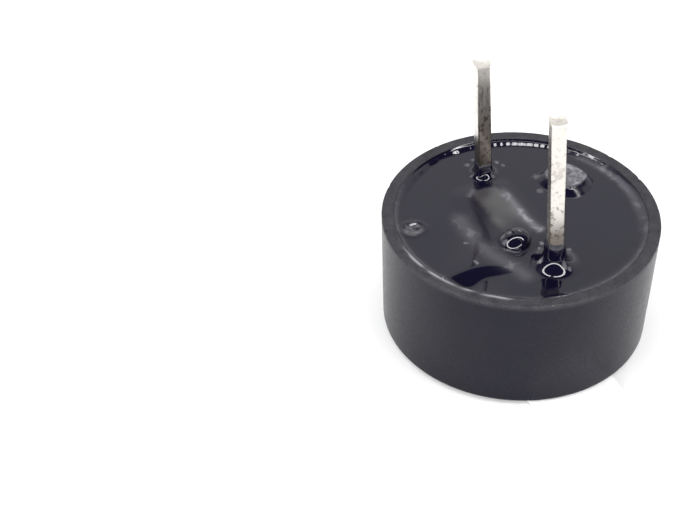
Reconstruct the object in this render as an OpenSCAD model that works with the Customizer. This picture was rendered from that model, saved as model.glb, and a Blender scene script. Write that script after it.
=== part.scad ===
// Magnetic buzzer with its driver circuit inside, for through-hole boards.
// The origin is on the case's axis, in the lower face of the wash label.
// +Z runs along the pins, out of the potted back. +X points at the positive pin.
// Sizes are in millimetres.

/* [Case] */
// Outside diameter of the case at its open rim
case_d = 9; // [8.6:0.1:13]
// Height of the case, from its front face to its rim
case_h = 4.2; // [4:0.1:6]
// Thickness of the side wall at the rim
wall_t = 0.4; // [0.3:0.02:0.6]
// Thickness of the front wall
front_t = 0.5; // [0.35:0.05:0.8]
// Draft of the outside, in degrees
case_draft = 1; // [0:0.1:2]
// Rounding of the front edge
front_edge_r = 0.12; // [0.1:0.01:0.3]
// Rounding of the rim's outer edge
rim_edge_r = 0.05; // [0.04:0.01:0.12]
// Diameter of the sound hole
sound_hole_d = 1.5; // [1:0.1:3]
// Height of the sound chamber in front of the diaphragm
chamber_h = 0.45; // [0.35:0.05:0.7]
// Width of the ledge that the diaphragm lies on
ledge_w = 0.5; // [0.3:0.05:0.7]

/* [Wash label] */
// Thickness of the label
label_t = 0.1; // [0.05:0.01:0.2]
// How far the label's edge stays inside the rim's diameter
label_inset = 0.4; // [0.3:0.05:0.8]
// Diameter of the ear that the label is peeled off by
ear_d = 3; // [2:0.1:4]
// How far the ear reaches past the rim's diameter
ear_reach = 1.65; // [1:0.05:2.5]

/* [Sounder] */
// Thickness of the diaphragm
diaphragm_t = 0.06; // [0.04:0.01:0.1]
// Diameter of the armature disc
armature_d = 2.4; // [1.6:0.1:3]
// Thickness of the armature disc
armature_t = 0.2; // [0.1:0.01:0.25]
// Air gap between the diaphragm and the pole
air_gap = 0.2; // [0.1:0.01:0.3]
// Thickness of the support ring's wall
support_t = 0.5; // [0.3:0.05:0.6]
// Diameter of the pole core
core_d = 1.5; // [1.2:0.1:1.8]
// Thickness of the drive winding, from the inside out
drive_t = 0.55; // [0.3:0.05:0.6]
// Thickness of the sense winding, from the inside out
sense_t = 0.45; // [0.3:0.05:0.5]
// How far the windings stay back from the pole's face
winding_setback = 0.12; // [0.05:0.01:0.2]
// Space between the windings and the magnet, for the coil's tails
lead_space = 0.46; // [0.42:0.01:0.6]
// Thickness of the ring magnet, from the inside out
magnet_t = 0.85; // [0.6:0.05:1]
// How far the magnet stays back from the pole's face
magnet_setback = 0.18; // [0.1:0.01:0.25]
// Thickness of the yoke plate
yoke_t = 0.35; // [0.25:0.05:0.5]

/* [Board] */
// Thickness of the circuit board
board_t = 0.4; // [0.3:0.05:0.6]
// Gap between the board's edge and the case, which the resin fills
board_gap = 0.2; // [0.1:0.05:0.3]
// Depth of the board's upper face below the rim
board_depth = 1.12; // [1.1:0.01:1.6]
// Thickness of the copper
copper_t = 0.04; // [0.02:0.01:0.07]
// Length of the transistor's body
transistor_l = 2.9; // [2:0.1:3]
// Width of the transistor's body
transistor_w = 1.3; // [1.2:0.1:1.6]
// Height of the transistor's body
transistor_h = 0.9; // [0.8:0.05:1.1]
// Length of the resistor with its caps
resistor_l = 1.6; // [1:0.1:1.8]
// Width of the resistor
resistor_w = 0.8; // [0.5:0.05:0.85]
// Height of the resistor
resistor_h = 0.45; // [0.3:0.05:0.6]

/* [Pins] */
// Distance between the two pins
pin_pitch = 5; // [4.8:0.1:6]
// Width of the square pins
pin_w = 0.45; // [0.35:0.01:0.5]
// Length of the positive pin above the resin
positive_l = 5.5; // [3:0.1:8]
// Length of the negative pin above the resin
negative_l = 4.5; // [3:0.1:8]
// Lean of both pins, in degrees
pin_lean = 3.5; // [0:0.5:4]
// Direction of the lean, in degrees from +X
lean_direction = 249; // [0:360]
// Turn of the positive pin about its own length, in degrees
positive_turn = -16; // [-45:45]
// Turn of the negative pin about its own length, in degrees
negative_turn = -6; // [-45:45]

/* [Resin] */
// Depth of the resin's surface below the rim
resin_drop = 0.15; // [0.1:0.01:0.3]
// Width of the band where the resin climbs the wall
wall_climb_w = 0.4; // [0.2:0.05:0.6]
// Height that the resin climbs up the positive pin
positive_climb = 0.95; // [0.3:0.05:1]
// Radius of the ring of climbing resin round the positive pin
positive_climb_r = 0.95; // [0.7:0.05:1]
// Height that the resin climbs up the negative pin
negative_climb = 0.55; // [0.2:0.05:0.8]
// Radius of the ring of climbing resin round the negative pin
negative_climb_r = 0.6; // [0.5:0.05:0.8]
// Height of the mound over the coil's common joint
mound_h = 0.22; // [0.08:0.02:0.3]
// Radius of the mound
mound_r = 0.9; // [0.8:0.05:1]
// Height of the drop of resin over the transistor's end
drop_h = 0.4; // [0.1:0.05:0.45]
// Radius of that drop
drop_r = 0.6; // [0.4:0.05:0.7]
// Diameter of the bubble pit
pit_d = 0.6; // [0.4:0.05:0.7]

/* [Hidden] */

$fn = 72;
// Running gap between pieces that are dropped in
fit_gap = 0.03;
// Overlap of shapes that are joined or cut, so that no face is left thin
overlap = 0.05;
// Steps of a curved outline
curve_steps = 8;

// Heights, from the label's lower face up
front_z = label_t;
rim_z = front_z + case_h;
chamber_z = front_z + front_t;
ledge_z = chamber_z + chamber_h;
ring_z = ledge_z + diaphragm_t;
pole_z = ring_z + air_gap;
board_top_z = rim_z - board_depth;
board_z = board_top_z - board_t;
yoke_z = board_z - yoke_t;
copper_z = board_top_z + copper_t;
resin_z = rim_z - resin_drop;

// Radii, from the axis out
rim_r = case_d / 2;
bore_r = rim_r - wall_t;
front_r = rim_r - case_h * tan(case_draft);
board_r = bore_r - board_gap;
core_r = core_d / 2;
drive_in_r = core_r + fit_gap;
drive_out_r = drive_in_r + drive_t;
sense_in_r = drive_out_r + fit_gap;
sense_out_r = sense_in_r + sense_t;
magnet_in_r = sense_out_r + lead_space;
magnet_out_r = magnet_in_r + magnet_t;

// The coil's tails rise through one hole in the yoke and the board
wire_d = 0.1;
lead_hole_d = lead_space - 0.06;
lead_angle = 75;
lead_r = (sense_out_r + magnet_in_r) / 2;
lead_out = [cos(lead_angle), sin(lead_angle)];
lead_along = [-sin(lead_angle), cos(lead_angle)];
lead_at = lead_r * lead_out;
// Half the spacing of the four tails in that hole
tail_offset = 0.075;
// Neighbouring tails turn at different heights, one step apart
tail_drop = 0.15;
tail_step = 0.17;
tail_rise = 0.1;
// The upright stretch of a tail is a little thicker, so that the level ones end inside it
riser_d = 1.2 * wire_d;

// Joints on the board, placed from the lead hole
common_joint = lead_at + [-1.48, 0.18];
drive_joint = lead_at + [0.22, -0.82];
sense_joint = lead_at + [1.23, -0.21];
common_joint_r = 0.6;
common_joint_h = resin_z - copper_z;
small_joint_r = 0.34;
small_joint_h = 0.4;

// Transistor and resistor
transistor_at = [-0.2, -0.55];
transistor_lift = 0.05;
transistor_z = copper_z + transistor_lift;
transistor_taper = 0.1;
leg_w = 0.4;
leg_t = 0.12;
leg_reach = 0.55;
leg_pitch = 0.95;
resistor_at = [0.7, -2.6];
cap_l = 0.3;
cap_t = 0.03;
fillet_l = 0.16;
fillet_h = 0.2;

// Corners of the supply track, which keeps outside the sense joint
supply_corners = [[pin_pitch / 2 + 0.2, 1.85], [1, 3.2]];

// Pads and tracks
pad_margin = 0.1;
track_w = 0.2;
track_corner_d = 1.2 * track_w;
collector_pad = transistor_at + [0, transistor_w / 2 + leg_reach - leg_w / 2];
emitter_pad = transistor_at + [-leg_pitch, -(transistor_w / 2 + leg_reach - leg_w / 2)];
base_pad = transistor_at + [leg_pitch, -(transistor_w / 2 + leg_reach - leg_w / 2)];
leg_pad = [leg_w + 2 * pad_margin, leg_w + 3 * pad_margin];
cap_pad = [cap_l + fillet_l + 2 * pad_margin, resistor_w + pad_margin];
resistor_end = (resistor_l - cap_l + fillet_l) / 2;

// Pins
pin_x = pin_pitch / 2;
pin_foot_gap = 0.1;
pin_foot_z = board_z + pin_foot_gap;
pin_hole_gap = 0.08;
pin_hole_d = pin_w * sqrt(2) + pin_hole_gap;
// How far the lean carries a pin between its foot and the resin's surface
pin_drift = (resin_z - pin_foot_z) * tan(pin_lean) * [cos(lean_direction), sin(lean_direction)];
pin_joint_r = 0.6;
pin_joint_h = 0.55;

// The drop covers the end of the transistor that is nearest to the positive pin
drop_at = transistor_at + [transistor_l / 2 - 0.14, -0.02];

// The bubble pit lies near the wall
pit_at = (bore_r - wall_climb_w - pit_d / 2 + 0.1) * [cos(259), sin(259)];
pit_depth = 0.12;

// Height of a concave foot at a share s of its width, 1 at the inside and 0 outside
function foot(s) = pow(1 - s, 3);
// Height of a dome at a share s of its radius, 1 at the centre and 0 outside
function dome(s) = (1 + cos(180 * s)) / 2;

// A quarter round from the angle a0 to a1 about a centre
function quarter(centre, r, a0, a1) = [
    for (i = [0 : curve_steps])
        centre + r * [cos(a0 + (a1 - a0) * i / curve_steps), sin(a0 + (a1 - a0) * i / curve_steps)]
];

module ring(r_out, r_in, h) {
    difference() {
        cylinder(r = r_out, h = h);
        translate([0, 0, -overlap]) cylinder(r = r_in, h = h + 2 * overlap);
    }
}

// A level run of wire
module wire(a, b, z) {
    run = b - a;
    translate([a[0], a[1], z])
        rotate([0, 90, atan2(run[1], run[0])])
            cylinder(d = wire_d, h = norm(run), $fn = 16);
}

// A flat strip of copper with a round corner at its far end
module track(a, b) {
    run = b - a;
    translate([a[0], a[1], board_top_z])
        rotate([0, 0, atan2(run[1], run[0])])
            translate([0, -track_w / 2, 0]) cube([norm(run), track_w, copper_t]);
    translate([b[0], b[1], board_top_z]) cylinder(d = track_corner_d, h = copper_t, $fn = 24);
}

module pad(at, size) {
    translate([at[0] - size[0] / 2, at[1] - size[1] / 2, board_top_z])
        cube([size[0], size[1], copper_t]);
}

module round_pad(at, r) {
    translate([at[0], at[1], board_top_z]) cylinder(r = r, h = copper_t);
}

// A pin leans about its foot, which is centred in its hole
module pin(x, turn, l) {
    depth = (resin_z - pin_foot_z) / cos(pin_lean);
    translate([x, 0, pin_foot_z])
        rotate(a = pin_lean, v = [-sin(lean_direction), cos(lean_direction), 0])
            rotate([0, 0, turn])
                translate([-pin_w / 2, -pin_w / 2, 0])
                    cube([pin_w, pin_w, depth + l]);
}

// A coil's tail: out of the winding, up through the lead hole, and level to a joint.
// out and along are -1 or 1, and choose one of the four places in the hole.
// drop counts steps below the yoke, and rise counts steps above the copper.
module tail(out, along, from_r, drop, joint, rise) {
    at = lead_at + tail_offset * (out * lead_out + along * lead_along);
    start = from_r * lead_out + tail_offset * along * lead_along;
    low_z = yoke_z - tail_drop - tail_step * drop;
    high_z = copper_z + tail_rise + tail_step * rise;
    wire(start, at, low_z);
    translate([at[0], at[1], low_z - riser_d / 2])
        cylinder(d = riser_d, h = high_z - low_z + riser_d, $fn = 16);
    wire(at, joint, high_z);
}

module wash_label() {
    ear_x = rim_r + ear_reach - ear_d / 2;
    color("white")
        linear_extrude(height = label_t)
            union() {
                circle(r = rim_r - label_inset);
                translate([ear_x, 0]) circle(d = ear_d);
                translate([0, -ear_d / 2]) square([ear_x, ear_d]);
            }
}

module case() {
    outline = concat(
        [[0, front_z]],
        quarter([front_r - front_edge_r, front_z + front_edge_r], front_edge_r, -90, 0),
        quarter([rim_r - rim_edge_r, rim_z - rim_edge_r], rim_edge_r, 0, 90),
        [[bore_r, rim_z], [bore_r, ledge_z], [bore_r - ledge_w, ledge_z],
         [bore_r - ledge_w, chamber_z], [0, chamber_z]]);
    color([0.05, 0.05, 0.055])
        difference() {
            rotate_extrude() polygon(outline);
            translate([0, 0, front_z - overlap])
                cylinder(d = sound_hole_d, h = front_t + 2 * overlap);
        }
}

module diaphragm() {
    color([0.7, 0.7, 0.72])
        translate([0, 0, ledge_z]) cylinder(r = bore_r - fit_gap, h = diaphragm_t);
}

module armature_disc() {
    color([0.5, 0.5, 0.52])
        translate([0, 0, ledge_z - armature_t]) cylinder(d = armature_d, h = armature_t);
}

module support_ring() {
    out_r = bore_r - fit_gap;
    color([0.75, 0.6, 0.3])
        translate([0, 0, ring_z]) ring(out_r, out_r - support_t, yoke_z - ring_z);
}

module ring_magnet() {
    z = pole_z + magnet_setback;
    color([0.25, 0.25, 0.27])
        translate([0, 0, z]) ring(magnet_out_r, magnet_in_r, yoke_z - z);
}

// The core's shank passes through the yoke plate
module pole_core() {
    color([0.6, 0.6, 0.62])
        translate([0, 0, pole_z]) cylinder(r = core_r, h = board_z - pole_z);
}

module yoke_plate() {
    color([0.62, 0.62, 0.64])
        difference() {
            translate([0, 0, yoke_z]) cylinder(r = bore_r - fit_gap, h = yoke_t);
            translate([0, 0, yoke_z - overlap]) {
                cylinder(r = core_r, h = yoke_t + 2 * overlap);
                translate([lead_at[0], lead_at[1], 0])
                    cylinder(d = lead_hole_d, h = yoke_t + 2 * overlap);
            }
        }
}

module winding(in_r, out_r) {
    z = pole_z + winding_setback;
    translate([0, 0, z]) ring(out_r, in_r, yoke_z - fit_gap - z);
}

module drive_tails() {
    start_r = drive_out_r - wire_d;
    tail(-1, 1, start_r, 0, common_joint, 1);
    tail(-1, -1, start_r, 1, drive_joint, 0);
}

module sense_tails() {
    start_r = sense_out_r - wire_d;
    tail(1, 1, start_r, 1, common_joint, 0);
    tail(1, -1, start_r, 2, sense_joint, 1);
}

module drive_winding() {
    color([0.72, 0.36, 0.16]) {
        winding(drive_in_r, drive_out_r);
        drive_tails();
    }
}

// The drive winding's tails pass out through the sense winding
module sense_winding() {
    color([0.8, 0.45, 0.2])
        union() {
            difference() {
                winding(sense_in_r, sense_out_r);
                drive_tails();
            }
            sense_tails();
        }
}

module circuit_board() {
    color([0.72, 0.62, 0.4])
        difference() {
            translate([0, 0, board_z]) cylinder(r = board_r, h = board_t);
            translate([0, 0, board_z - overlap]) {
                for (x = [-pin_x, pin_x])
                    translate([x, 0, 0]) cylinder(d = pin_hole_d, h = board_t + 2 * overlap);
                translate([lead_at[0], lead_at[1], 0])
                    cylinder(d = lead_hole_d, h = board_t + 2 * overlap);
            }
        }
}

// Positive pin to the coil's common joint, drive winding to the collector,
// sense winding through the resistor to the base, emitter to the negative pin
module copper_tracks() {
    left_cap = resistor_at - [resistor_end, 0];
    right_cap = resistor_at + [resistor_end, 0];
    lane_x = transistor_at[0] + transistor_l / 2 + track_w;
    lane_y = sense_joint[1] - 0.8;
    pin_pad_r = pin_joint_r + pad_margin;
    color([0.78, 0.45, 0.25])
        difference() {
            union() {
                for (x = [-pin_x, pin_x])
                    round_pad([x, 0], pin_pad_r);
                round_pad(common_joint, common_joint_r + pad_margin);
                for (at = [drive_joint, sense_joint])
                    round_pad(at, small_joint_r + pad_margin / 2);
                for (at = [collector_pad, emitter_pad, base_pad])
                    pad(at, leg_pad);
                for (at = [left_cap, right_cap])
                    pad(at, cap_pad);
                track([pin_x, 0], supply_corners[0]);
                track(supply_corners[0], supply_corners[1]);
                track(supply_corners[1], common_joint);
                track(drive_joint, collector_pad);
                track(sense_joint, [lane_x, lane_y]);
                track([lane_x, lane_y], [lane_x, right_cap[1]]);
                track(base_pad, left_cap);
                track(emitter_pad, [-pin_x, 0]);
            }
            translate([0, 0, board_z])
                for (x = [-pin_x, pin_x])
                    translate([x, 0, 0]) cylinder(d = pin_hole_d, h = board_t + 1);
        }
}

module transistor_body() {
    l = transistor_l / 2;
    w = transistor_w / 2;
    t = transistor_taper;
    color([0.13, 0.13, 0.13])
        translate([transistor_at[0], transistor_at[1], transistor_z])
            intersection() {
                translate([0, w, 0])
                    rotate([90, 0, 0])
                        linear_extrude(height = 2 * w)
                            polygon([[-l, 0], [l, 0], [l - t, transistor_h], [t - l, transistor_h]]);
                translate([-l, 0, 0])
                    rotate([90, 0, 90])
                        linear_extrude(height = 2 * l)
                            polygon([[-w, 0], [w, 0], [w - t, transistor_h], [t - w, transistor_h]]);
            }
}

// One gull-wing leg, which leaves the body along +Y
module leg() {
    knee = transistor_lift + 0.3;
    reach = transistor_w / 2 + leg_reach;
    mid = transistor_w / 2 + leg_reach - leg_w;
    inside = transistor_w / 2 - 0.15;
    translate([-leg_w / 2, 0, 0])
        rotate([90, 0, 90])
            linear_extrude(height = leg_w)
                polygon([[inside, knee], [mid - leg_t, knee], [mid - leg_t, 0], [reach, 0],
                         [reach, leg_t], [mid, leg_t], [mid, knee + leg_t], [inside, knee + leg_t]]);
}

module all_legs() {
    translate([transistor_at[0], transistor_at[1], copper_z]) {
        leg();
        for (x = [-leg_pitch, leg_pitch])
            translate([x, 0, 0]) mirror([0, 1, 0]) leg();
    }
}

module transistor_leads() {
    color([0.75, 0.75, 0.76])
        difference() {
            all_legs();
            transistor_body();
        }
}

module resistor_block(l, w, h) {
    translate([resistor_at[0] - l / 2, resistor_at[1] - w / 2, copper_z + cap_t])
        cube([l, w, h]);
}

module resistor_body() {
    color([0.15, 0.15, 0.16])
        resistor_block(resistor_l - 2 * cap_t, resistor_w, resistor_h - 2 * cap_t);
}

module resistor_caps() {
    color([0.78, 0.78, 0.78])
        difference() {
            for (side = [-1, 1])
                translate([resistor_at[0] + side * (resistor_l - cap_l) / 2 - cap_l / 2,
                           resistor_at[1] - resistor_w / 2, copper_z])
                    cube([cap_l, resistor_w, resistor_h]);
            resistor_body();
        }
}

// A wedge of solder that rises along +X against what it holds
module fillet(w) {
    translate([0, w / 2, 0])
        rotate([90, 0, 0])
            linear_extrude(height = w)
                polygon([[0, 0], [fillet_l, 0], [0, fillet_h]]);
}

module chip_solder() {
    toe = transistor_w / 2 + leg_reach;
    color([0.8, 0.8, 0.8]) {
        for (side = [-1, 1])
            translate([resistor_at[0] + side * resistor_l / 2, resistor_at[1], copper_z])
                rotate([0, 0, side < 0 ? 180 : 0]) fillet(resistor_w);
        translate([transistor_at[0], transistor_at[1], copper_z]) {
            translate([0, toe, 0]) rotate([0, 0, 90]) scale(0.6) fillet(leg_w);
            for (x = [-leg_pitch, leg_pitch])
                translate([x, -toe, 0]) rotate([0, 0, -90]) scale(0.6) fillet(leg_w);
        }
    }
}

// A round joint with a domed top
module joint(at, r, h) {
    translate([at[0], at[1], copper_z])
        rotate_extrude()
            polygon(concat([[0, 0]], [
                for (i = [0 : curve_steps - 1])
                    [r * cos(90 * i / curve_steps), h * sin(90 * i / curve_steps)]
            ], [[0, h * sin(90 * (curve_steps - 1) / curve_steps)]]));
}

module coil_joints() {
    joint(common_joint, common_joint_r, common_joint_h);
    joint(drive_joint, small_joint_r, small_joint_h);
    joint(sense_joint, small_joint_r, small_joint_h);
}

module coil_solder() {
    color([0.8, 0.8, 0.8])
        difference() {
            coil_joints();
            drive_tails();
            sense_tails();
        }
}

module positive_pin() {
    color([0.85, 0.85, 0.84]) pin(pin_x, positive_turn, positive_l);
}

module negative_pin() {
    color([0.85, 0.85, 0.84]) pin(-pin_x, negative_turn, negative_l);
}

// A plug in the board's hole with a cone above it
module pin_joint(x) {
    neck_r = pin_w * 0.75;
    translate([x, 0, 0]) {
        translate([0, 0, pin_foot_z]) cylinder(d = pin_hole_d, h = copper_z - pin_foot_z + overlap);
        translate([0, 0, copper_z])
            rotate_extrude()
                polygon(concat([[0, 0]], [
                    for (i = [0 : curve_steps])
                        [pin_joint_r + (neck_r - pin_joint_r) * i / curve_steps,
                         pin_joint_h * (1 - foot(i / curve_steps))]
                ], [[0, pin_joint_h]]));
    }
}

module pin_solder() {
    color([0.8, 0.8, 0.8])
        difference() {
            union() {
                pin_joint(pin_x);
                pin_joint(-pin_x);
            }
            positive_pin();
            negative_pin();
        }
}

// A ring of resin that climbs a pin
module climb(x, r, h) {
    translate([x + pin_drift[0], pin_drift[1], resin_z])
        rotate_extrude()
            polygon(concat([[0, -overlap], [r, -overlap]], [
                for (i = [0 : curve_steps])
                    [r + (pin_w / 2 - r) * i / curve_steps, h * foot(1 - i / curve_steps)]
            ], [[0, h]]));
}

// A low dome of resin
module mound(at, r, h) {
    translate([at[0], at[1], resin_z])
        rotate_extrude()
            polygon(concat([[0, -overlap], [r, -overlap]], [
                for (i = [0 : curve_steps - 1])
                    [r * (1 - i / curve_steps), h * dome(1 - i / curve_steps)]
            ], [[0, h * dome(1 / curve_steps)]]));
}

// The dish that a burst bubble left
module pit() {
    translate([pit_at[0], pit_at[1], resin_z])
        rotate_extrude()
            polygon(concat([[0, overlap], [0, -pit_depth * cos(90 / curve_steps)]], [
                for (i = [1 : curve_steps])
                    [pit_d / 2 * sin(90 * i / curve_steps), -pit_depth * cos(90 * i / curve_steps)]
            ], [[pit_d / 2, overlap]]));
}

// The cast body, with the board's edge keyed in it
module cast() {
    climb_h = resin_drop - rim_edge_r / 2;
    rotate_extrude()
        polygon(concat([[0, board_top_z], [board_r, board_top_z], [board_r, board_z], [bore_r, board_z]], [
            for (i = [0 : curve_steps])
                [bore_r - wall_climb_w * i / curve_steps, resin_z + climb_h * foot(i / curve_steps)]
        ], [[0, resin_z]]));
}

module potting() {
    color([0.03, 0.03, 0.035])
        difference() {
            union() {
                cast();
                climb(pin_x, positive_climb_r, positive_climb);
                climb(-pin_x, negative_climb_r, negative_climb);
                mound(common_joint, mound_r, mound_h);
                mound(drop_at, drop_r, drop_h);
            }
            copper_tracks();
            transistor_body();
            all_legs();
            chip_solder();
            resistor_body();
            resistor_caps();
            coil_joints();
            drive_tails();
            sense_tails();
            pin_joint(pin_x);
            pin_joint(-pin_x);
            positive_pin();
            negative_pin();
            translate([lead_at[0], lead_at[1], board_z])
                cylinder(d = lead_hole_d, h = board_t + copper_t);
            pit();
        }
}

wash_label();
case();
diaphragm();
armature_disc();
support_ring();
ring_magnet();
pole_core();
yoke_plate();
drive_winding();
sense_winding();
circuit_board();
copper_tracks();
transistor_body();
transistor_leads();
resistor_body();
resistor_caps();
chip_solder();
coil_solder();
positive_pin();
negative_pin();
pin_solder();
potting();
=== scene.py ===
"""A round magnetic buzzer with two square pins, potted from the back.

Pieces are made in the CAD model's own frame: the origin is on the case's axis in the
label's lower face, +Z runs along the pins, and +X points at the positive pin.
Shapes are worked out in millimetres and scaled to metres as the last step.
"""
import math

import bmesh
import bpy
from mathutils import Matrix, Vector, noise


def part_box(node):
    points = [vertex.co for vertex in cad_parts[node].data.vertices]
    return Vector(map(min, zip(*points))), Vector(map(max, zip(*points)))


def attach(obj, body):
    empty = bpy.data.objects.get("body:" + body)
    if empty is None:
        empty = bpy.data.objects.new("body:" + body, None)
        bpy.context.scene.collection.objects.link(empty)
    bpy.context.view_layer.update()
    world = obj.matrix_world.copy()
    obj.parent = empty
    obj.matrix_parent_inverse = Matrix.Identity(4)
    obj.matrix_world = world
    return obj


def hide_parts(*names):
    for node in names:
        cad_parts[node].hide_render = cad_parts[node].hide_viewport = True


bl_info = {
    "name": "Magnetic buzzer",
    "version": (1, 0, 0),
    "blender": (4, 5, 0),
    "location": "3D View > Sidebar > Buzzer",
    "description": "Makes the pieces, finishes and stage of a potted magnetic buzzer",
    "category": "Object",
}

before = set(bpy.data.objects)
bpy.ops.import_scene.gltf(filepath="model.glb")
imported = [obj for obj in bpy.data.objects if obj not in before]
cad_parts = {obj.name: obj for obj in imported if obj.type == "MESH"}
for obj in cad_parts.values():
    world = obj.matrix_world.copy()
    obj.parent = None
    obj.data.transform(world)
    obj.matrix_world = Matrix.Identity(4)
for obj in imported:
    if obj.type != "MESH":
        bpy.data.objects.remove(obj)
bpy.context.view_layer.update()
MM = 0.001


def mm_box(node):
    """A CAD node's lowest and highest corners, in millimetres."""
    return tuple(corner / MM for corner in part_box(node))


# Heights and radii of the CAD model, in millimetres
LABEL_LOW, LABEL_HIGH = mm_box("wash_label")
CASE_LOW, CASE_HIGH = mm_box("case")
BOARD_LOW, BOARD_HIGH = mm_box("circuit_board")
LABEL_R = LABEL_HIGH.y
FRONT_Z = CASE_LOW.z
RIM_Z = CASE_HIGH.z
RIM_R = CASE_HIGH.x
BORE_R = mm_box("potting")[1].x
LEDGE_Z = mm_box("diaphragm")[0].z
PIN_FOOT_Z = mm_box("positive_pin")[0].z


# ---------------------------------------------------------------- settings

def length(name, description, default_mm):
    """A length property, kept in metres, with its default given in millimetres."""
    return bpy.props.FloatProperty(
        name=name, description=description, default=default_mm * MM,
        unit="LENGTH", subtype="DISTANCE", precision=5)


def turn(name, description, default_degrees):
    """An angle property with its default given in degrees."""
    return bpy.props.FloatProperty(
        name=name, description=description, default=math.radians(default_degrees),
        unit="ROTATION", subtype="ANGLE")


def colour(name, description, default):
    """A colour property."""
    return bpy.props.FloatVectorProperty(
        name=name, description=description, default=default,
        subtype="COLOR", size=3, min=0.0, max=1.0)


class CaseSettings(bpy.types.PropertyGroup):
    """Sizes and colours of the moulded case."""
    front_thickness: length("Front wall", "Thickness of the front wall", 0.5)
    ledge_width: length("Ledge", "Width of the ledge under the diaphragm", 0.5)
    sound_hole: length("Sound hole", "Diameter of the sound hole", 1.5)
    draft: turn("Draft", "Draft of the outside wall", 1.0)
    front_rounding: length("Front rounding", "Rounding of the front edge", 0.12)
    rim_rounding: length("Rim rounding", "Rounding of the rim's outer edge", 0.05)
    bore_rounding: length("Bore rounding", "Rounding of the rim's inner edge", 0.03)
    plastic: colour("Plastic", "Colour of the moulded plastic", (0.0034, 0.0031, 0.0078))
    scuffed: colour("Scuffed plastic", "Colour of the scuffed rim", (0.040, 0.039, 0.043))


class LabelSettings(bpy.types.PropertyGroup):
    """Sizes and colours of the wash label."""
    ear: length("Ear", "Diameter of the ear", 3.0)
    paper: colour("Paper", "Colour of the paper", (0.93, 0.93, 0.93))
    ink: colour("Ink", "Colour of the print", (0.165, 0.21, 0.60))


class ResinSettings(bpy.types.PropertyGroup):
    """Sizes and colours of the potting resin."""
    drop: length("Drop", "Depth of the surface below the rim", 0.15)
    resin: colour("Resin", "Colour of the resin", (0.0028, 0.0023, 0.0090))
    film: colour("Thin film", "Colour where the resin is a thin dull film", (0.085, 0.083, 0.080))
    haze: colour("Haze", "Colour of the haze on the resin", (0.32, 0.32, 0.34))


class PinSettings(bpy.types.PropertyGroup):
    """Sizes and colours of the two pins."""
    width: length("Width", "Width of the square pins", 0.45)
    positive_length: length("Positive length", "Length above the resin", 5.5)
    negative_length: length("Negative length", "Length above the resin", 4.5)
    pitch: length("Pitch", "Distance between the pins at their feet", 5.0)
    lean: turn("Lean", "Lean of both pins", 3.5)
    lean_direction: turn("Lean direction", "Direction of the lean, from +X", 249.0)
    positive_turn: turn("Positive turn", "Turn about the pin's own length", -16.0)
    negative_turn: turn("Negative turn", "Turn about the pin's own length", -6.0)
    tin: colour("Tin", "Colour of the tin plating", (0.725, 0.70, 0.655))
    # The stain colour also serves the painted shade on the pins' lower parts and sides.
    stain_and_shade: colour("Stain", "Colour of the stains on the tin", (0.12, 0.095, 0.08))


class StageSettings(bpy.types.PropertyGroup):
    """The floor, the lamps and the camera."""
    floor: colour("Floor", "Colour of the floor", (0.68, 0.68, 0.68))
    floor_glow: bpy.props.FloatProperty(
        name="Floor glow", description="How brightly the floor shows of itself", default=0.16)
    lamps: bpy.props.IntProperty(
        name="Lamps", description="Number of places on the ring of lamps", default=40)
    lamp_radiance: bpy.props.FloatProperty(
        name="Lamp brightness", description="Radiance of each lamp", default=14.0)
    lens: bpy.props.FloatProperty(
        name="Lens", description="Focal length of the lens", default=77.1,
        unit="CAMERA")


SETTINGS = {"buzzer_case": CaseSettings, "buzzer_label": LabelSettings,
            "buzzer_resin": ResinSettings, "buzzer_pins": PinSettings,
            "buzzer_stage": StageSettings}


# ---------------------------------------------------------------- small tools

def clamp(value):
    """The value, kept between 0 and 1."""
    return min(1.0, max(0.0, value))


def smooth_step(low, high, value):
    """Rises smoothly from 0 at low to 1 at high."""
    share = clamp((value - low) / (high - low))
    return share * share * (3.0 - 2.0 * share)


def rise_and_fall(value, rise, fall):
    """Rises from 0 to 1 over one stretch, and falls back to 0 over another."""
    return smooth_step(*rise, value) * (1 - smooth_step(*fall, value))


def bell(offset, width):
    """1 in the middle, and towards 0 on both sides."""
    return math.exp(-(offset / width) ** 2)


def smooth_max(first, second, width):
    """The larger of two heights, with a fillet of about that width between them."""
    near = max(width - abs(first - second), 0.0) / width
    return max(first, second) + near * near * width / 4.0


def wave(x, y, size, seed=0.0):
    """Smooth noise between -1 and 1, with features of about that size."""
    return noise.noise(Vector((x / size, y / size, seed)))


def polar(x, y):
    """Distance from the axis, and the bearing from +X in degrees."""
    return math.hypot(x, y), math.degrees(math.atan2(y, x))


def arc(centre, radius, start, end, steps):
    """Points along an arc, with its angles in degrees."""
    points = []
    for step in range(steps + 1):
        angle = math.radians(start + (end - start) * step / steps)
        points.append((centre[0] + radius * math.cos(angle),
                       centre[1] + radius * math.sin(angle)))
    return points


def evenly(start, end, steps):
    """Numbers from start to end, without start itself."""
    return [start + (end - start) * step / steps for step in range(1, steps + 1)]


def spun(mesh, outline, steps, closed=True):
    """Turns an outline of (radius, height) points once round the axis."""
    verts = [mesh.verts.new((radius, 0.0, height)) for radius, height in outline]
    pairs = list(zip(verts, verts[1:]))
    if closed:
        pairs.append((verts[-1], verts[0]))
    edges = [mesh.edges.new(pair) for pair in pairs]
    bmesh.ops.spin(mesh, geom=verts + edges, cent=(0, 0, 0), axis=(0, 0, 1),
                   dvec=(0, 0, 0), angle=math.tau, steps=steps, use_merge=True)
    bmesh.ops.remove_doubles(mesh, verts=mesh.verts, dist=1e-5)
    bmesh.ops.recalc_face_normals(mesh, faces=mesh.faces)


def point_layers(mesh, *names):
    """New layers that keep one number on each point."""
    return [mesh.verts.layers.float.new(name) for name in names]


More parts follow.
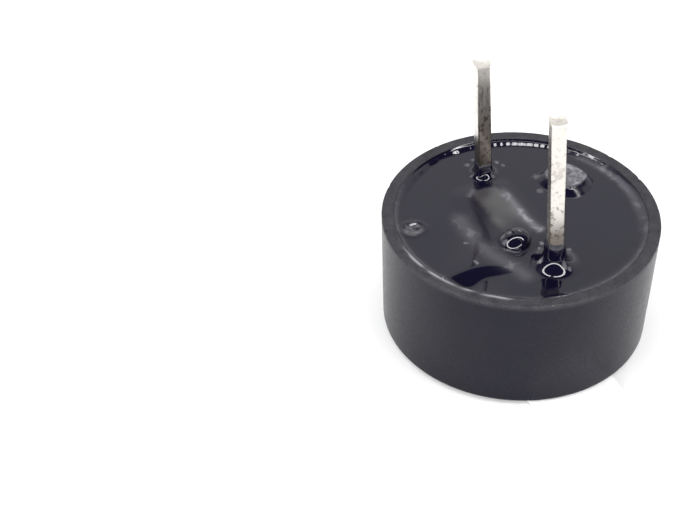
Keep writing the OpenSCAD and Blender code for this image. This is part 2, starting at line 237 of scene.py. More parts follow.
def sharpen(mesh, degrees, below=math.inf):
    """Marks the edges that bend more than that as sharp, up to a height."""
    for edge in mesh.edges:
        low = all(vert.co.z < below for vert in edge.verts)
        if low and edge.calc_face_angle(0.0) > math.radians(degrees):
            edge.smooth = False


def bevel(mesh, edges, offset, segments):
    """Rounds some edges."""
    bmesh.ops.bevel(mesh, geom=edges, offset=offset, offset_type="OFFSET", affect="EDGES",
                    segments=segments, profile=0.5, material=-1)


def add_object(name, data):
    """A new object in the scene."""
    added = bpy.data.objects.new(name, data)
    bpy.context.scene.collection.objects.link(added)
    return added


def add_mesh(name, mesh):
    """A new object in the scene, with a finished mesh."""
    data = bpy.data.meshes.new(name)
    mesh.to_mesh(data)
    mesh.free()
    return add_object(name, data)


def finish_piece(mesh, name, material, replaced, weighted=True):
    """Puts a mesh made in millimetres into the scene as a piece of the buzzer."""
    bmesh.ops.scale(mesh, vec=(MM, MM, MM), verts=mesh.verts)
    piece = add_mesh(name, mesh)
    piece.data.shade_smooth()
    piece.data.materials.append(material)
    if weighted:
        normals = piece.modifiers.new("Even normals", "WEIGHTED_NORMAL")
        normals.keep_sharp = True
    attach(piece, "root")
    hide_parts(replaced)


# ---------------------------------------------------------------- node tools

class Sheet:
    """Adds nodes to a node tree, each with its settings and inputs in one call."""

    def __init__(self, tree):
        self.tree = tree

    def feed(self, socket, value):
        """Links a socket's value, or sets it."""
        if isinstance(value, bpy.types.NodeSocket):
            self.tree.links.new(value, socket)
        elif socket.type == "RGBA" and len(value) == 3:
            socket.default_value = (*value, 1.0)
        else:
            socket.default_value = value

    def add(self, kind, inputs=None, **settings):
        """A new node."""
        node = self.tree.nodes.new("ShaderNode" + kind)
        for key, value in settings.items():
            setattr(node, key, value)
        for key, value in (inputs or {}).items():
            self.feed(node.inputs[key], value)
        return node

    def math(self, operation, first, second=0.5, clamp=False):
        """The result of a calculation."""
        node = self.add("Math", {0: first, 1: second}, operation=operation)
        node.use_clamp = clamp
        return node.outputs[0]

    def plus(self, first, second, clamp=False):
        """The sum of two values."""
        return self.math("ADD", first, second, clamp)

    def times(self, first, second):
        """The product of two values."""
        return self.math("MULTIPLY", first, second)

    def either(self, first, second):
        """The larger of two masks."""
        return self.math("MAXIMUM", first, second)

    def distance(self, across, along):
        """The length of a step across and a step along."""
        squared = self.plus(self.times(across, across), self.times(along, along))
        return self.math("SQRT", squared)

    def mix(self, share, first, second):
        """A mixture of two colours. The node's colours are its inputs 6 and 7 and output 2."""
        node = self.add("Mix", data_type="RGBA")
        for key, value in (("Factor", share), (6, first), (7, second)):
            self.feed(node.inputs[key], value)
        return node.outputs[2]

    def between(self, value, low, high, start=0.0, end=1.0):
        """A value mapped smoothly from low..high to start..end."""
        node = self.add("MapRange", {"Value": value, "From Min": low, "From Max": high,
                                     "To Min": start, "To Max": end},
                        interpolation_type="SMOOTHSTEP")
        return node.outputs["Result"]

    def place(self):
        """The point's place on the piece, in metres."""
        return self.add("TexCoord").outputs["Object"]

    def attribute(self, name):
        """A number kept on the piece's points."""
        return self.add("Attribute", attribute_name=name).outputs["Fac"]


def build_grain(sheet, given, result):
    """Fine grain: a height and a mask of its hollows."""
    fine = sheet.add("TexNoise", {"Vector": given["Place"], "Scale": given["Scale"],
                                  "Detail": 3.0, "Roughness": 0.6})
    coarse = sheet.add("TexNoise", {"Vector": given["Place"], "Detail": 2.0,
                                    "Scale": sheet.times(given["Scale"], 0.22)})
    summed = sheet.plus(sheet.times(fine.outputs[0], 0.65), sheet.times(coarse.outputs[0], 0.35))
    sheet.feed(result["Height"], summed)
    sheet.feed(result["Hollows"], sheet.between(summed, 0.52, 0.36))


def build_specks(sheet, given, result):
    """Scattered round specks."""
    cells = sheet.add("TexVoronoi", {"Vector": given["Place"], "Scale": given["Scale"],
                                     "Randomness": 1.0})
    size = sheet.add("TexWhiteNoise", {"Vector": cells.outputs["Position"]},
                     noise_dimensions="3D")
    chosen = sheet.math("LESS_THAN", size.outputs["Value"], given["Share"])
    reach = sheet.plus(sheet.times(size.outputs["Value"], 0.5), given["Size"])
    dot = sheet.between(cells.outputs["Distance"], reach, sheet.times(reach, 0.4))
    sheet.feed(result["Mask"], sheet.times(dot, chosen))


def build_stains(sheet, given, result):
    """Cloudy stains with soft edges."""
    cloud = sheet.add("TexNoise", {"Vector": given["Place"], "Scale": given["Scale"],
                                   "Detail": 5.0, "Roughness": 0.62, "Distortion": 0.4})
    low = sheet.math("SUBTRACT", 1.0, given["Spread"])
    high = sheet.plus(low, given["Softness"])
    sheet.feed(result["Mask"], sheet.between(cloud.outputs[0], low, high))


def build_lines(sheet, given, result):
    """Fine drawn or turned lines along one direction."""
    stretched = sheet.add("VectorMath", {0: given["Place"], 1: given["Stretch"]},
                          operation="MULTIPLY")
    lines = sheet.add("TexNoise", {"Vector": stretched.outputs[0], "Scale": 1.0,
                                   "Detail": 3.0, "Roughness": 0.7})
    sheet.feed(result["Height"], lines.outputs[0])


# The shared effects: what each takes beside the place, with defaults, what it gives, and how
# it is built
EFFECTS = {
    "Fine grain": ({"Scale": 20000.0}, ("Height", "Hollows"), build_grain),
    "Specks": ({"Scale": 4000.0, "Share": 0.2, "Size": 0.1}, ("Mask",), build_specks),
    "Stains": ({"Scale": 1500.0, "Spread": 0.45, "Softness": 0.15}, ("Mask",), build_stains),
    "Drawn lines": ({"Stretch": (1.0, 1.0, 1.0)}, ("Height",), build_lines),
}


def effect(name):
    """A node group that several materials share, made once."""
    if name in bpy.data.node_groups:
        return bpy.data.node_groups[name]
    inputs, outputs, build = EFFECTS[name]
    group = bpy.data.node_groups.new(name, "ShaderNodeTree")
    group.interface.new_socket("Place", in_out="INPUT", socket_type="NodeSocketVector")
    for label, default in inputs.items():
        kind = "NodeSocketFloat" if isinstance(default, float) else "NodeSocketVector"
        socket = group.interface.new_socket(label, in_out="INPUT", socket_type=kind)
        socket.default_value = default
    for label in outputs:
        group.interface.new_socket(label, in_out="OUTPUT", socket_type="NodeSocketFloat")
    start = group.nodes.new("NodeGroupInput")
    end = group.nodes.new("NodeGroupOutput")
    build(Sheet(group), start.outputs, end.inputs)
    return group


def use(sheet, name, **inputs):
    """Places one of the shared effects in a material, and gives its outputs."""
    given = {key.capitalize(): value for key, value in inputs.items()}
    return sheet.add("Group", given, node_tree=effect(name)).outputs


def new_material(name):
    """A new material with its sheet and its shader."""
    material = bpy.data.materials.new(name)
    material.use_nodes = True
    sheet = Sheet(material.node_tree)
    return material, sheet, material.node_tree.nodes["Principled BSDF"]


def finish_shader(sheet, shader, colour, rough, height, depth):
    """Feeds the shader its colour, its roughness and a relief of some depth in millimetres."""
    sheet.feed(shader.inputs["Base Color"], colour)
    sheet.feed(shader.inputs["Roughness"], rough)
    relief = sheet.add("Bump", {"Height": height, "Strength": 1.0, "Distance": depth * MM})
    sheet.feed(shader.inputs["Normal"], relief.outputs[0])


# ---------------------------------------------------------------- materials

# Colours of what lies on the pieces, of the painted highlight along the rim's inner edge, and of
# the wire, the painted shade in the gaps between its turns, and its stains
CASE_DUST = (0.42, 0.41, 0.40)
# Colour of the painted highlight along the rim's inner edge
RIM_EDGE_HIGHLIGHT = (0.30, 0.30, 0.315)
RESIN_DUST = (0.5, 0.5, 0.48)
PAPER_HOLLOWS = (0.86, 0.855, 0.845)
WIRE = (0.66, 0.26, 0.10)
WIRE_GAP_SHADE = (0.16, 0.05, 0.02)
WIRE_STAINS = (0.45, 0.15, 0.05)


def case_plastic(settings):
    """Satin moulded plastic, scuffed and dusty along the rim, with a painted highlight along the
    rim's inner edge.
    """
    material, sheet, shader = new_material("Case plastic")
    place = sheet.place()
    grain = use(sheet, "Fine grain", place=place, scale=16000.0)
    cloud = use(sheet, "Stains", place=place, scale=900.0, spread=0.56, softness=0.3)
    dust = use(sheet, "Specks", place=place, scale=3600.0, share=0.16, size=0.06)
    wear = sheet.attribute("wear")
    scuffs = sheet.times(wear, sheet.between(grain["Height"], 0.32, 0.62, 0.35, 1.0))
    base = sheet.mix(scuffs, settings.plastic, settings.scuffed)
    base = sheet.mix(sheet.times(cloud["Mask"], 0.03), base, settings.scuffed)
    specks = sheet.times(dust["Mask"], sheet.plus(sheet.times(wear, 0.45), 0.02))
    base = sheet.mix(specks, base, CASE_DUST)
    # Painted highlight: a pale line along the rim's inner edge
    base = sheet.mix(sheet.attribute("rim_edge_highlight"), base, RIM_EDGE_HIGHLIGHT)
    rough = sheet.plus(sheet.between(grain["Height"], 0.3, 0.7, 0.25, 0.34),
                       sheet.times(wear, 0.22))
    shader.inputs["IOR"].default_value = 1.28
    finish_shader(sheet, shader, base, rough, grain["Height"], 0.004)
    return material


def potting_resin(settings):
    """Glossy black resin, dull where it is a thin film over a part."""
    material, sheet, shader = new_material("Potting resin")
    place = sheet.place()
    grain = use(sheet, "Fine grain", place=place, scale=9000.0)
    patches = use(sheet, "Stains", place=place, scale=2600.0, spread=0.52, softness=0.2)
    dust = use(sheet, "Specks", place=place, scale=1700.0, share=0.10, size=0.03)
    film = sheet.attribute("film")
    haze = sheet.attribute("haze")
    base = sheet.mix(film, settings.resin, settings.film)
    mottled = sheet.times(haze, sheet.between(patches["Mask"], 0.0, 1.0, 0.45, 1.0))
    base = sheet.mix(mottled, base, settings.haze)
    base = sheet.mix(sheet.times(dust["Mask"], 0.10), base, RESIN_DUST)
    dull = sheet.times(film, sheet.between(grain["Height"], 0.3, 0.7, 0.35, 0.5))
    dull = sheet.plus(dull, sheet.times(haze, 0.34))
    dull = sheet.plus(dull, sheet.times(sheet.attribute("matt"), 0.4))
    shader.inputs["IOR"].default_value = 1.45
    finish_shader(sheet, shader, base, sheet.plus(dull, 0.055), grain["Height"], 0.0012)
    return material


def tin_plate(settings):
    """Tin plating with brown stains that thicken towards the resin, and painted shade by height
    and by side.
    """
    material, sheet, shader = new_material("Tin plate")
    place = sheet.place()
    spots = use(sheet, "Stains", place=place, scale=5200.0, spread=0.49, softness=0.12)
    cloud = use(sheet, "Stains", place=place, scale=1300.0, spread=0.50, softness=0.25)
    lines = use(sheet, "Drawn lines", place=place, stretch=(26000.0, 26000.0, 900.0))
    speckled = sheet.plus(sheet.times(sheet.attribute("tarnish"), 0.55), 0.10)
    stain_and_shade = sheet.times(spots["Mask"], speckled)
    stain_and_shade = sheet.plus(stain_and_shade, sheet.times(cloud["Mask"], 0.12))
    # Painted shade from the shade layer, mottled like the stains: it darkens the pins towards the
    # resin, and differs between the side that faces +X and the other sides.
    mottled = sheet.times(sheet.attribute("shade"),
                          sheet.between(spots["Mask"], 0.0, 1.0, 0.85, 1.25))
    stain_and_shade = sheet.plus(stain_and_shade, mottled, clamp=True)
    base = sheet.mix(stain_and_shade, settings.tin, settings.stain_and_shade)
    rough = sheet.between(lines["Height"], 0.3, 0.7, 0.17, 0.25)
    rough = sheet.plus(rough, sheet.times(stain_and_shade, 0.12))
    rough = sheet.plus(rough, sheet.times(sheet.attribute("dull"), 0.4))
    shader.inputs["Metallic"].default_value = 1.0
    finish_shader(sheet, shader, base, rough, lines["Height"], 0.0006)
    return material


# The print on the label's lower face, in millimetres: the sign on the ear, and the bars as
# places along +X with their lengths
SIGN_RING = (0.97, 1.15)
SIGN_SPAN = 2.1
SIGN_STROKE = 0.2
BARS = ((1.9, 5.0), (0.0, 3.4), (-1.9, 5.6))
BAR_WIDTH = 0.8
PRINT_BLUR = 0.02


def disc_mask(sheet, x, y, centre, radius):
    """1 inside a circle on the label's face, and 0 outside it."""
    distance = sheet.distance(*[sheet.math("SUBTRACT", value, middle * MM)
                                for value, middle in zip((x, y), centre)])
    return sheet.between(distance, (radius + PRINT_BLUR) * MM, (radius - PRINT_BLUR) * MM)


def bar_mask(sheet, x, y, centre, size):
    """1 inside an upright bar on the label's face, and 0 outside it."""
    masks = []
    for value, middle, full in zip((x, y), centre, size):
        offset = sheet.math("ABSOLUTE", sheet.math("SUBTRACT", value, middle * MM))
        masks.append(sheet.between(offset, (full / 2 + PRINT_BLUR) * MM,
                                   (full / 2 - PRINT_BLUR) * MM))
    return sheet.times(*masks)


def print_mask(sheet, x, y, ear_at):
    """Where the label is printed: a ringed plus on the ear, and three plain bars."""
    inner, outer = SIGN_RING
    ring = sheet.math("SUBTRACT", disc_mask(sheet, x, y, ear_at, outer),
                      disc_mask(sheet, x, y, ear_at, inner))
    plus = sheet.either(bar_mask(sheet, x, y, ear_at, (SIGN_SPAN, SIGN_STROKE)),
                        bar_mask(sheet, x, y, ear_at, (SIGN_STROKE, SIGN_SPAN)))
    printed = sheet.either(ring, plus)
    for bar_x, bar_length in BARS:
        bar = bar_mask(sheet, x, y, (bar_x, 0.0), (BAR_WIDTH, bar_length))
        printed = sheet.either(printed, bar)
    return printed


def label_paper(settings):
    """Satin paper, printed on its lower face."""
    material, sheet, shader = new_material("Label paper")
    place = sheet.place()
    x, y, z = sheet.add("SeparateXYZ", {0: place}).outputs
    ear_at = (LABEL_HIGH.x - settings.ear / MM / 2, 0.0)
    lower_face = sheet.math("LESS_THAN", z, (LABEL_HIGH.z - LABEL_LOW.z) * MM / 5)
    printed = sheet.times(print_mask(sheet, x, y, ear_at), lower_face)
    worn = use(sheet, "Stains", place=place, scale=5000.0, spread=0.42, softness=0.1)
    printed = sheet.times(printed, sheet.between(worn["Mask"], 0.0, 1.0, 1.0, 0.86))
    fibres = use(sheet, "Fine grain", place=place, scale=12000.0)
    paper = sheet.mix(sheet.times(fibres["Hollows"], 0.35), settings.paper, PAPER_HOLLOWS)
    finish_shader(sheet, shader, sheet.mix(printed, paper, settings.ink),
                  sheet.between(fibres["Height"], 0.3, 0.7, 0.42, 0.55), fibres["Height"], 0.004)
    return material


# Name, colour, second colour, metallic, roughness from and to, grain scale, depth of the
# relief in millimetres, and how a pattern of lines is stretched where there is one
PLAIN_FINISHES = {
    "spring_steel": ("Spring steel", (0.55, 0.55, 0.57), (0.42, 0.42, 0.45), 1.0,
                     (0.25, 0.38), 9000.0, 0.002, (700.0, 24000.0, 24000.0)),
    "iron": ("Plated iron", (0.50, 0.50, 0.52), (0.34, 0.34, 0.37), 1.0,
             (0.3, 0.48), 7000.0, 0.004, (3000.0, 3000.0, 26000.0)),
    "ring_brass": ("Turned brass", (0.72, 0.56, 0.26), (0.52, 0.38, 0.16), 1.0,
                   (0.25, 0.4), 7000.0, 0.004, (900.0, 900.0, 26000.0)),
    "magnet": ("Plated magnet", (0.19, 0.19, 0.21), (0.10, 0.10, 0.11), 0.6,
               (0.45, 0.62), 14000.0, 0.010, None),
    "board_laminate": ("Board laminate", (0.52, 0.40, 0.20), (0.42, 0.31, 0.14), 0.0,
                       (0.5, 0.66), 9000.0, 0.008, (9000.0, 2200.0, 9000.0)),
    "board_copper": ("Board copper", (0.72, 0.38, 0.20), (0.48, 0.23, 0.12), 1.0,
                     (0.28, 0.45), 8000.0, 0.004, None),
    "moulding_compound": ("Moulding compound", (0.035, 0.035, 0.036), (0.06, 0.06, 0.058),
                          0.0, (0.5, 0.66), 18000.0, 0.008, None),
    "solder": ("Solder", (0.66, 0.66, 0.68), (0.46, 0.46, 0.48), 1.0,
               (0.22, 0.42), 6000.0, 0.010, None),
    "resistor_ceramic": ("Resistor glaze", (0.02, 0.02, 0.024), (0.045, 0.045, 0.05), 0.0,
                         (0.2, 0.34), 9000.0, 0.004, None),
}


def plain_finish(slot):
    """A finish with grain, cloudy colour and, on rolled or turned parts, lines."""
    name, first, second, metallic, rough_range, scale, depth, stretch = PLAIN_FINISHES[slot]
    material, sheet, shader = new_material(name)
    place = sheet.place()
    grain = use(sheet, "Fine grain", place=place, scale=scale)
    cloud = use(sheet, "Stains", place=place, scale=scale * 0.16, spread=0.52, softness=0.22)
    height = grain["Height"]
    if stretch:
        lines = use(sheet, "Drawn lines", place=place, stretch=stretch)
        height = sheet.plus(sheet.times(height, 0.35), sheet.times(lines["Height"], 0.65))
    shade = sheet.plus(sheet.times(cloud["Mask"], 0.6), sheet.times(grain["Hollows"], 0.4),
                       clamp=True)
    shader.inputs["Metallic"].default_value = metallic
    finish_shader(sheet, shader, sheet.mix(shade, first, second),
                  sheet.between(height, 0.3, 0.7, *rough_range), height, depth)
    return material


# Distance from one turn of wire to the next
WIRE_PITCH = 0.055 * MM


def copper_wire():
    """Enamelled wire, with its turns in level rows round the axis, and painted shade in the gaps
    between them.
    """
    material, sheet, shader = new_material("Enamelled wire")
    place = sheet.place()
    x, y, z = sheet.add("SeparateXYZ", {0: place}).outputs
    rows = [sheet.math("ABSOLUTE", sheet.math("SINE", sheet.times(value, math.pi / WIRE_PITCH)))
            for value in (z, sheet.distance(x, y))]
    turns = sheet.times(*rows)
    cloud = use(sheet, "Stains", place=place, scale=1600.0, spread=0.5, softness=0.25)
    # Painted shade: darker copper in the gaps between the turns
    base = sheet.mix(sheet.between(turns, 0.5, 0.0), WIRE, WIRE_GAP_SHADE)
    base = sheet.mix(sheet.times(cloud["Mask"], 0.3), base, WIRE_STAINS)
    shader.inputs["Metallic"].default_value = 1.0
    shader.inputs["Coat Weight"].default_value = 0.6
    finish_shader(sheet, shader, base, sheet.between(cloud["Mask"], 0.0, 1.0, 0.24, 0.38),
                  turns, 0.02)
    return material


def coat_nodes(nodes, material):
    """Gives CAD nodes a material."""
    for name in nodes:
        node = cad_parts[name]
        if not node.material_slots:
            node.data.materials.append(material)
        for held in node.material_slots:
            held.material = material


# ---------------------------------------------------------------- case

def wear_of_rim(co):
    """How scuffed the case is at a point: 1 on the rim's top, and 0 down the side."""
    top = smooth_step(RIM_Z - 0.16, RIM_Z - 0.03, co.z)
    outside = smooth_step(BORE_R - 0.02, BORE_R + 0.01, math.hypot(co.x, co.y))
    patch = 0.5 + 0.5 * noise.noise(Vector((co.x, co.y, co.z)) / 0.45)
    return top * outside * (0.55 + 0.45 * patch)


def painted_highlight_of_rim(co):
    """Painted highlight: pale streaks along the rim's inner edge, on the side of the pit."""
    radius, bearing = polar(co.x, co.y)
    along = math.radians(bearing) * BORE_R
    stretch = rise_and_fall(bearing, (-92, -82), (-36, -24))
    middle = BORE_R + 0.07 + 0.025 * wave(along, 0.0, 0.5, 2.0)
    patch = smooth_step(-0.5, 0.3, wave(along, radius * 2, 0.45, 8.0))
    top = smooth_step(RIM_Z - 0.08, RIM_Z - 0.02, co.z)
    return 0.7 * stretch * bell(radius - middle, 0.045) * patch * top


def rough_rim(mesh):
    """Gives the rim the slight wobble and the small nicks of a moulded, handled edge."""
    for vert in mesh.verts:
        share = smooth_step(RIM_Z - 0.14, RIM_Z - 0.01, vert.co.z)
        radius = math.hypot(vert.co.x, vert.co.y)
        if share <= 0.0 or radius < BORE_R - 0.001:
            continue
        sink = 0.004 * (1.0 + wave(vert.co.x, vert.co.y, 0.7, 3.0))
        nick = smooth_step(0.30, 0.62, wave(vert.co.x, vert.co.y, 0.24, 9.0))
        outer = smooth_step(RIM_R - 0.16, RIM_R - 0.02, radius)
        vert.co.z -= share * (sink + 0.022 * nick * outer)
        inward = share * outer * (0.010 * nick + 0.0015 * (1 + wave(vert.co.x, vert.co.y, 0.35)))
        vert.co.x *= 1.0 - inward / radius
        vert.co.y *= 1.0 - inward / radius


CASE_STEPS = 420
HOLE_CHAMFER = 0.04


def front_outline(settings, hole, front_r):
    """The front face, from the sound hole to the rounding at its edge."""
    rounding = settings.front_rounding / MM
    flat_to = front_r - rounding
    flat = [(radius, FRONT_Z) for radius in evenly(hole + HOLE_CHAMFER, flat_to, 6)]
    return [(hole, FRONT_Z + HOLE_CHAMFER), (hole + HOLE_CHAMFER, FRONT_Z), *flat[:-1],
            *arc((flat_to, FRONT_Z + rounding), rounding, -90, 0, 10)]


def rim_outline(settings, low):
    """The side from its lowest point up, and the rim with its two roundings."""
    rim = settings.rim_rounding / MM
    bore = settings.bore_rounding / MM
    side_top = RIM_Z - rim
    side = [(low[0] + (RIM_R - low[0]) * share, low[1] + (side_top - low[1]) * share)
            for share in evenly(0, 1, 24)]
    flat = [(radius, RIM_Z) for radius in evenly(RIM_R - rim, BORE_R + bore, 9)]
    return [*side[:-1], *arc((RIM_R - rim, side_top), rim, 0, 90, 8), *flat[:-1],
            *arc((BORE_R + bore, RIM_Z - bore), bore, 90, 180, 5)]


def inner_outline(settings, hole):
    """The bore, the diaphragm's ledge, the sound chamber and the hole's inner edge."""
    ledge_r = BORE_R - settings.ledge_width / MM
    chamber_z = FRONT_Z + settings.front_thickness / MM
    return [(BORE_R, RIM_Z - 0.25), (BORE_R, LEDGE_Z), (ledge_r, LEDGE_Z), (ledge_r, chamber_z),
            (hole + HOLE_CHAMFER, chamber_z), (hole, chamber_z - HOLE_CHAMFER)]


class BUZZER_OT_make_case(bpy.types.Operator):
    """Makes the moulded case with its rim, ledge and sound hole"""
    bl_idname = "buzzer.make_case"
    bl_label = "Case"

    def execute(self, context):
        settings = context.scene.buzzer_case
        hole = settings.sound_hole / MM / 2
        front_r = RIM_R - (RIM_Z - FRONT_Z) * math.tan(settings.draft)
        outline = front_outline(settings, hole, front_r)
        outline += rim_outline(settings, outline[-1])
        outline += inner_outline(settings, hole)
        mesh = bmesh.new()
        spun(mesh, outline, CASE_STEPS)
        wear, rim_edge_highlight = point_layers(mesh, "wear", "rim_edge_highlight")
        for vert in mesh.verts:
            vert[wear] = wear_of_rim(vert.co)
            # A painted highlight along the rim's inner edge
            vert[rim_edge_highlight] = painted_highlight_of_rim(vert.co)
        rough_rim(mesh)
        sharpen(mesh, 40)
        finish_piece(mesh, "moulded_case", case_plastic(settings), "case")
        return {"FINISHED"}


# ---------------------------------------------------------------- label

DISC_STEPS = 220
EAR_STEPS = 72
PAPER_ROUNDING = 0.02


class BUZZER_OT_make_label(bpy.types.Operator):
    """Makes the peel-off wash label with its ear"""
    bl_idname = "buzzer.make_label"
    bl_label = "Wash label"

    def execute(self, context):
        settings = context.scene.buzzer_label
        ear_r = settings.ear / MM / 2
        ear_at = Vector((LABEL_HIGH.x - ear_r, 0, 0))
        meet = math.asin(ear_r / LABEL_R)
        mesh = bmesh.new()
        disc_start = mesh.verts.new((LABEL_R * math.cos(meet), ear_r, 0))
        bmesh.ops.spin(mesh, geom=[disc_start], cent=(0, 0, 0), axis=(0, 0, 1),
                       dvec=(0, 0, 0), angle=math.tau - 2 * meet, steps=DISC_STEPS)
        ear_start = mesh.verts.new((ear_at.x, -ear_r, 0))
        bmesh.ops.spin(mesh, geom=[ear_start], cent=ear_at, axis=(0, 0, 1),
                       dvec=(0, 0, 0), angle=math.pi, steps=EAR_STEPS)
        ends = [vert for vert in mesh.verts if len(vert.link_edges) == 1]
        for side in (-1, 1):
            first, second = [vert for vert in ends if vert.co.y * side > 0]
            mesh.edges.new((first, second))
        face = bmesh.ops.contextual_create(mesh, geom=mesh.edges[:])["faces"]
        raised = bmesh.ops.extrude_face_region(mesh, geom=face)
        bmesh.ops.translate(mesh, vec=(0, 0, LABEL_HIGH.z - LABEL_LOW.z),
                            verts=[item for item in raised["geom"]
                                   if isinstance(item, bmesh.types.BMVert)])
        bmesh.ops.recalc_face_normals(mesh, faces=mesh.faces)
        border = [edge for edge in mesh.edges
                  if edge.calc_face_angle(0.0) > math.radians(60)]
        bevel(mesh, border, PAPER_ROUNDING, 2)
        finish_piece(mesh, "wash_label_paper", label_paper(settings),
                     "wash_label")
        return {"FINISHED"}


# ---------------------------------------------------------------- resin

# Places on the resin, in millimetres from the axis
TRANSISTOR_LOW = (-1.65, -1.2)
TRANSISTOR_HIGH = (1.25, 0.1)
FILM_LOW = (-1.72, -0.93)
FILM_HIGH = (0.95, 0.0)
FILM_HEIGHT = 0.034
CORNER_R = 0.12
DROP_AT = (1.09, -0.78)
DROP_TURN = math.radians(110)
DROP_HALF = (0.54, 0.50)
DROP_HEIGHT = 0.42
# How far the drop leans for each millimetre of its height
DROP_LEAN = (0.18, 0.30)
# The mound: its place, its height, the radius of its broken top and the width of its flank
MOUND_AT = (-1.10, 2.24)
MOUND_HEIGHT = 0.24
MOUND_TOP = 0.65
MOUND_FLANK = 0.29
PIT_AT = (-0.78, -3.46)
PIT_GLINT_AT = (-0.75, -3.32)
# The climb at the wall: how far in it reaches, its height and its ripples at the far wall,
# and where it starts there, as bearings and distances from the wall
CLIMB_REACH = 0.8
CLIMB_HEIGHT = 0.087
RIPPLE_LENGTH = 0.23
CLIMB_START = ((98, 0.18), (122, 0.24), (165, 0.30), (180, 0.27), (195, 0.20), (212, 0.30),
               (230, 0.32))
# The slope near the case's wall: its direction, its fall for each millimetre, and its far and
# near edges at places across that direction
SLOPE_BEARING = math.radians(-31)
SLOPE_FALL = 0.27
SLOPE_FAR = ((-2.35, 3.60), (-1.78, 3.18), (-1.33, 2.88), (-0.89, 2.63), (-0.40, 2.56),
             (0.00, 2.80))
SLOPE_NEAR = ((-2.35, 3.60), (-1.60, 3.66), (-1.22, 3.56), (-0.92, 3.12), (-0.40, 2.92),
              (0.00, 2.80))
# Soft pale streaks on the resin: points, width and tone
STREAKS = (
    (((-1.75, 0.08), (0.20, 0.11), (0.62, 0.18), (1.05, 0.34)), 0.16, 0.52),
    (((-1.15, -1.84), (0.12, -1.88), (1.40, -1.72), (2.28, -1.28), (3.10, -1.05)), 0.26, 0.24),
    (((-1.50, -1.14), (-1.88, -0.72)), 0.08, 0.30),
    (((1.47, -2.40), (1.68, -2.32)), 0.035, 0.75),
    (((0.50, -2.28), (0.61, -2.12)), 0.03, 0.45),
)

# Pale crumbs on the resin: place, size and tone
CRUMBS = ((2.41, -0.55, 0.10, 0.55), (2.91, 0.02, 0.10, 0.5), (1.48, -0.01, 0.09, 0.45),
          (2.08, 0.66, 0.09, 0.4), (1.67, -0.19, 0.07, 0.4), (3.00, 0.15, 0.09, 0.45),
          (-3.16, -0.37, 0.10, 0.5), (-3.35, -0.07, 0.08, 0.5), (-2.91, 0.61, 0.09, 0.4),
          (-2.68, 0.74, 0.08, 0.4), (-2.51, -0.52, 0.08, 0.45), (-2.19, 0.10, 0.08, 0.4),
          (1.22, -1.18, 0.10, 0.5), (1.03, -0.93, 0.09, 0.45), (0.98, -1.15, 0.10, 0.3),
          (1.12, -0.62, 0.07, 0.45), (-1.65, 1.48, 0.16, 0.3), (-0.94, 1.21, 0.14, 0.3))


def far_wall_climb(bearing, gap, along):
    """Height of the climb at the far wall: a rippled ramp, a flat band and a raised edge."""
    ragged = 1 - smooth_step(122, 138, bearing)
    calm = smooth_step(177, 187, bearing)
    even = (1 - ragged) * (1 - calm)
    phase = along * math.tau / RIPPLE_LENGTH
    ripple = 0.014 * math.sin(phase) * even
    ripple += 0.05 * max(ragged, 0.8 * calm) * wave(along, 0.0, 0.16 + 0.2 * calm, 5.0)
    start = between_stops(bearing, CLIMB_START, ease=True) + ripple
    ramp = smooth_max(start + 0.015 * wave(along, 0.0, 0.9, 6.0) - gap, 0.0, 0.04)
    rate = 0.44 * (1 + 0.05 * math.sin(phase + 1.2) * even) + 0.13 * calm
    ramp = -rate * smooth_max(-ramp, -CLIMB_HEIGHT / rate, 0.03)
    return ramp + 0.055 * (1 - smooth_step(0.0, 0.08, gap))


def near_wall_climb(bearing, gap, along):
    """Height of the climb at the rest of the wall: a curve that steepens towards the wall."""
    open_side = smooth_step(-20, 10, (bearing + 180) % 360 - 180) * (bearing < 98)
    reach = (0.075 + 0.05 * open_side) * (1 + 0.25 * wave(along, 0.0, 0.8, 1.0))
    height = 0.132 - 0.025 * open_side
    return height * math.exp(-gap / reach) + 0.006 * math.exp(-gap / 0.3)


def wall_climb(x, y):
    """Height that the resin climbs near the case's wall."""
    radius, bearing = polar(x, y)
    gap = BORE_R - radius
    if gap > CLIMB_REACH:
        return 0.0
    bearing %= 360
    along = math.radians(bearing) * BORE_R
    far = rise_and_fall(bearing, (98, 114), (212, 232))
    return (far_wall_climb(bearing, gap, along) * far
            + near_wall_climb(bearing, gap, along) * (1 - far))


def between_stops(value, stops, ease=False):
    """A number, or a point, that runs through stops."""
    if value <= stops[0][0]:
        return stops[0][1]
    for start, end in zip(stops, stops[1:]):
        if value <= end[0]:
            share = (value - start[0]) / (end[0] - start[0])
            if ease:
                share = smooth_step(0.0, 1.0, share)
            return start[1] + (end[1] - start[1]) * share
    return stops[-1][1]


def near_rectangle(x, y, low, high):
    """Distance outside a rectangle with round corners; negative inside it."""
    dx, dy = [abs(value - (first + last) / 2) - (last - first) / 2 + CORNER_R
              for value, first, last in zip((x, y), low, high)]
    outside = math.hypot(max(dx, 0.0), max(dy, 0.0))
    return outside + min(max(dx, dy), 0.0) - CORNER_R


def from_line(x, y, line):
    """Distance from a line of points, and how far along it the nearest place is."""
    best = (1e9, 0.0)
    for index, (start, end) in enumerate(zip(line, line[1:])):
        ax, ay = start
        bx, by = end[0] - ax, end[1] - ay
        share = clamp(((x - ax) * bx + (y - ay) * by) / (bx * bx + by * by))
        distance = math.hypot(x - ax - share * bx, y - ay - share * by)
        best = min(best, (distance, (index + share) / (len(line) - 1)))
    return best


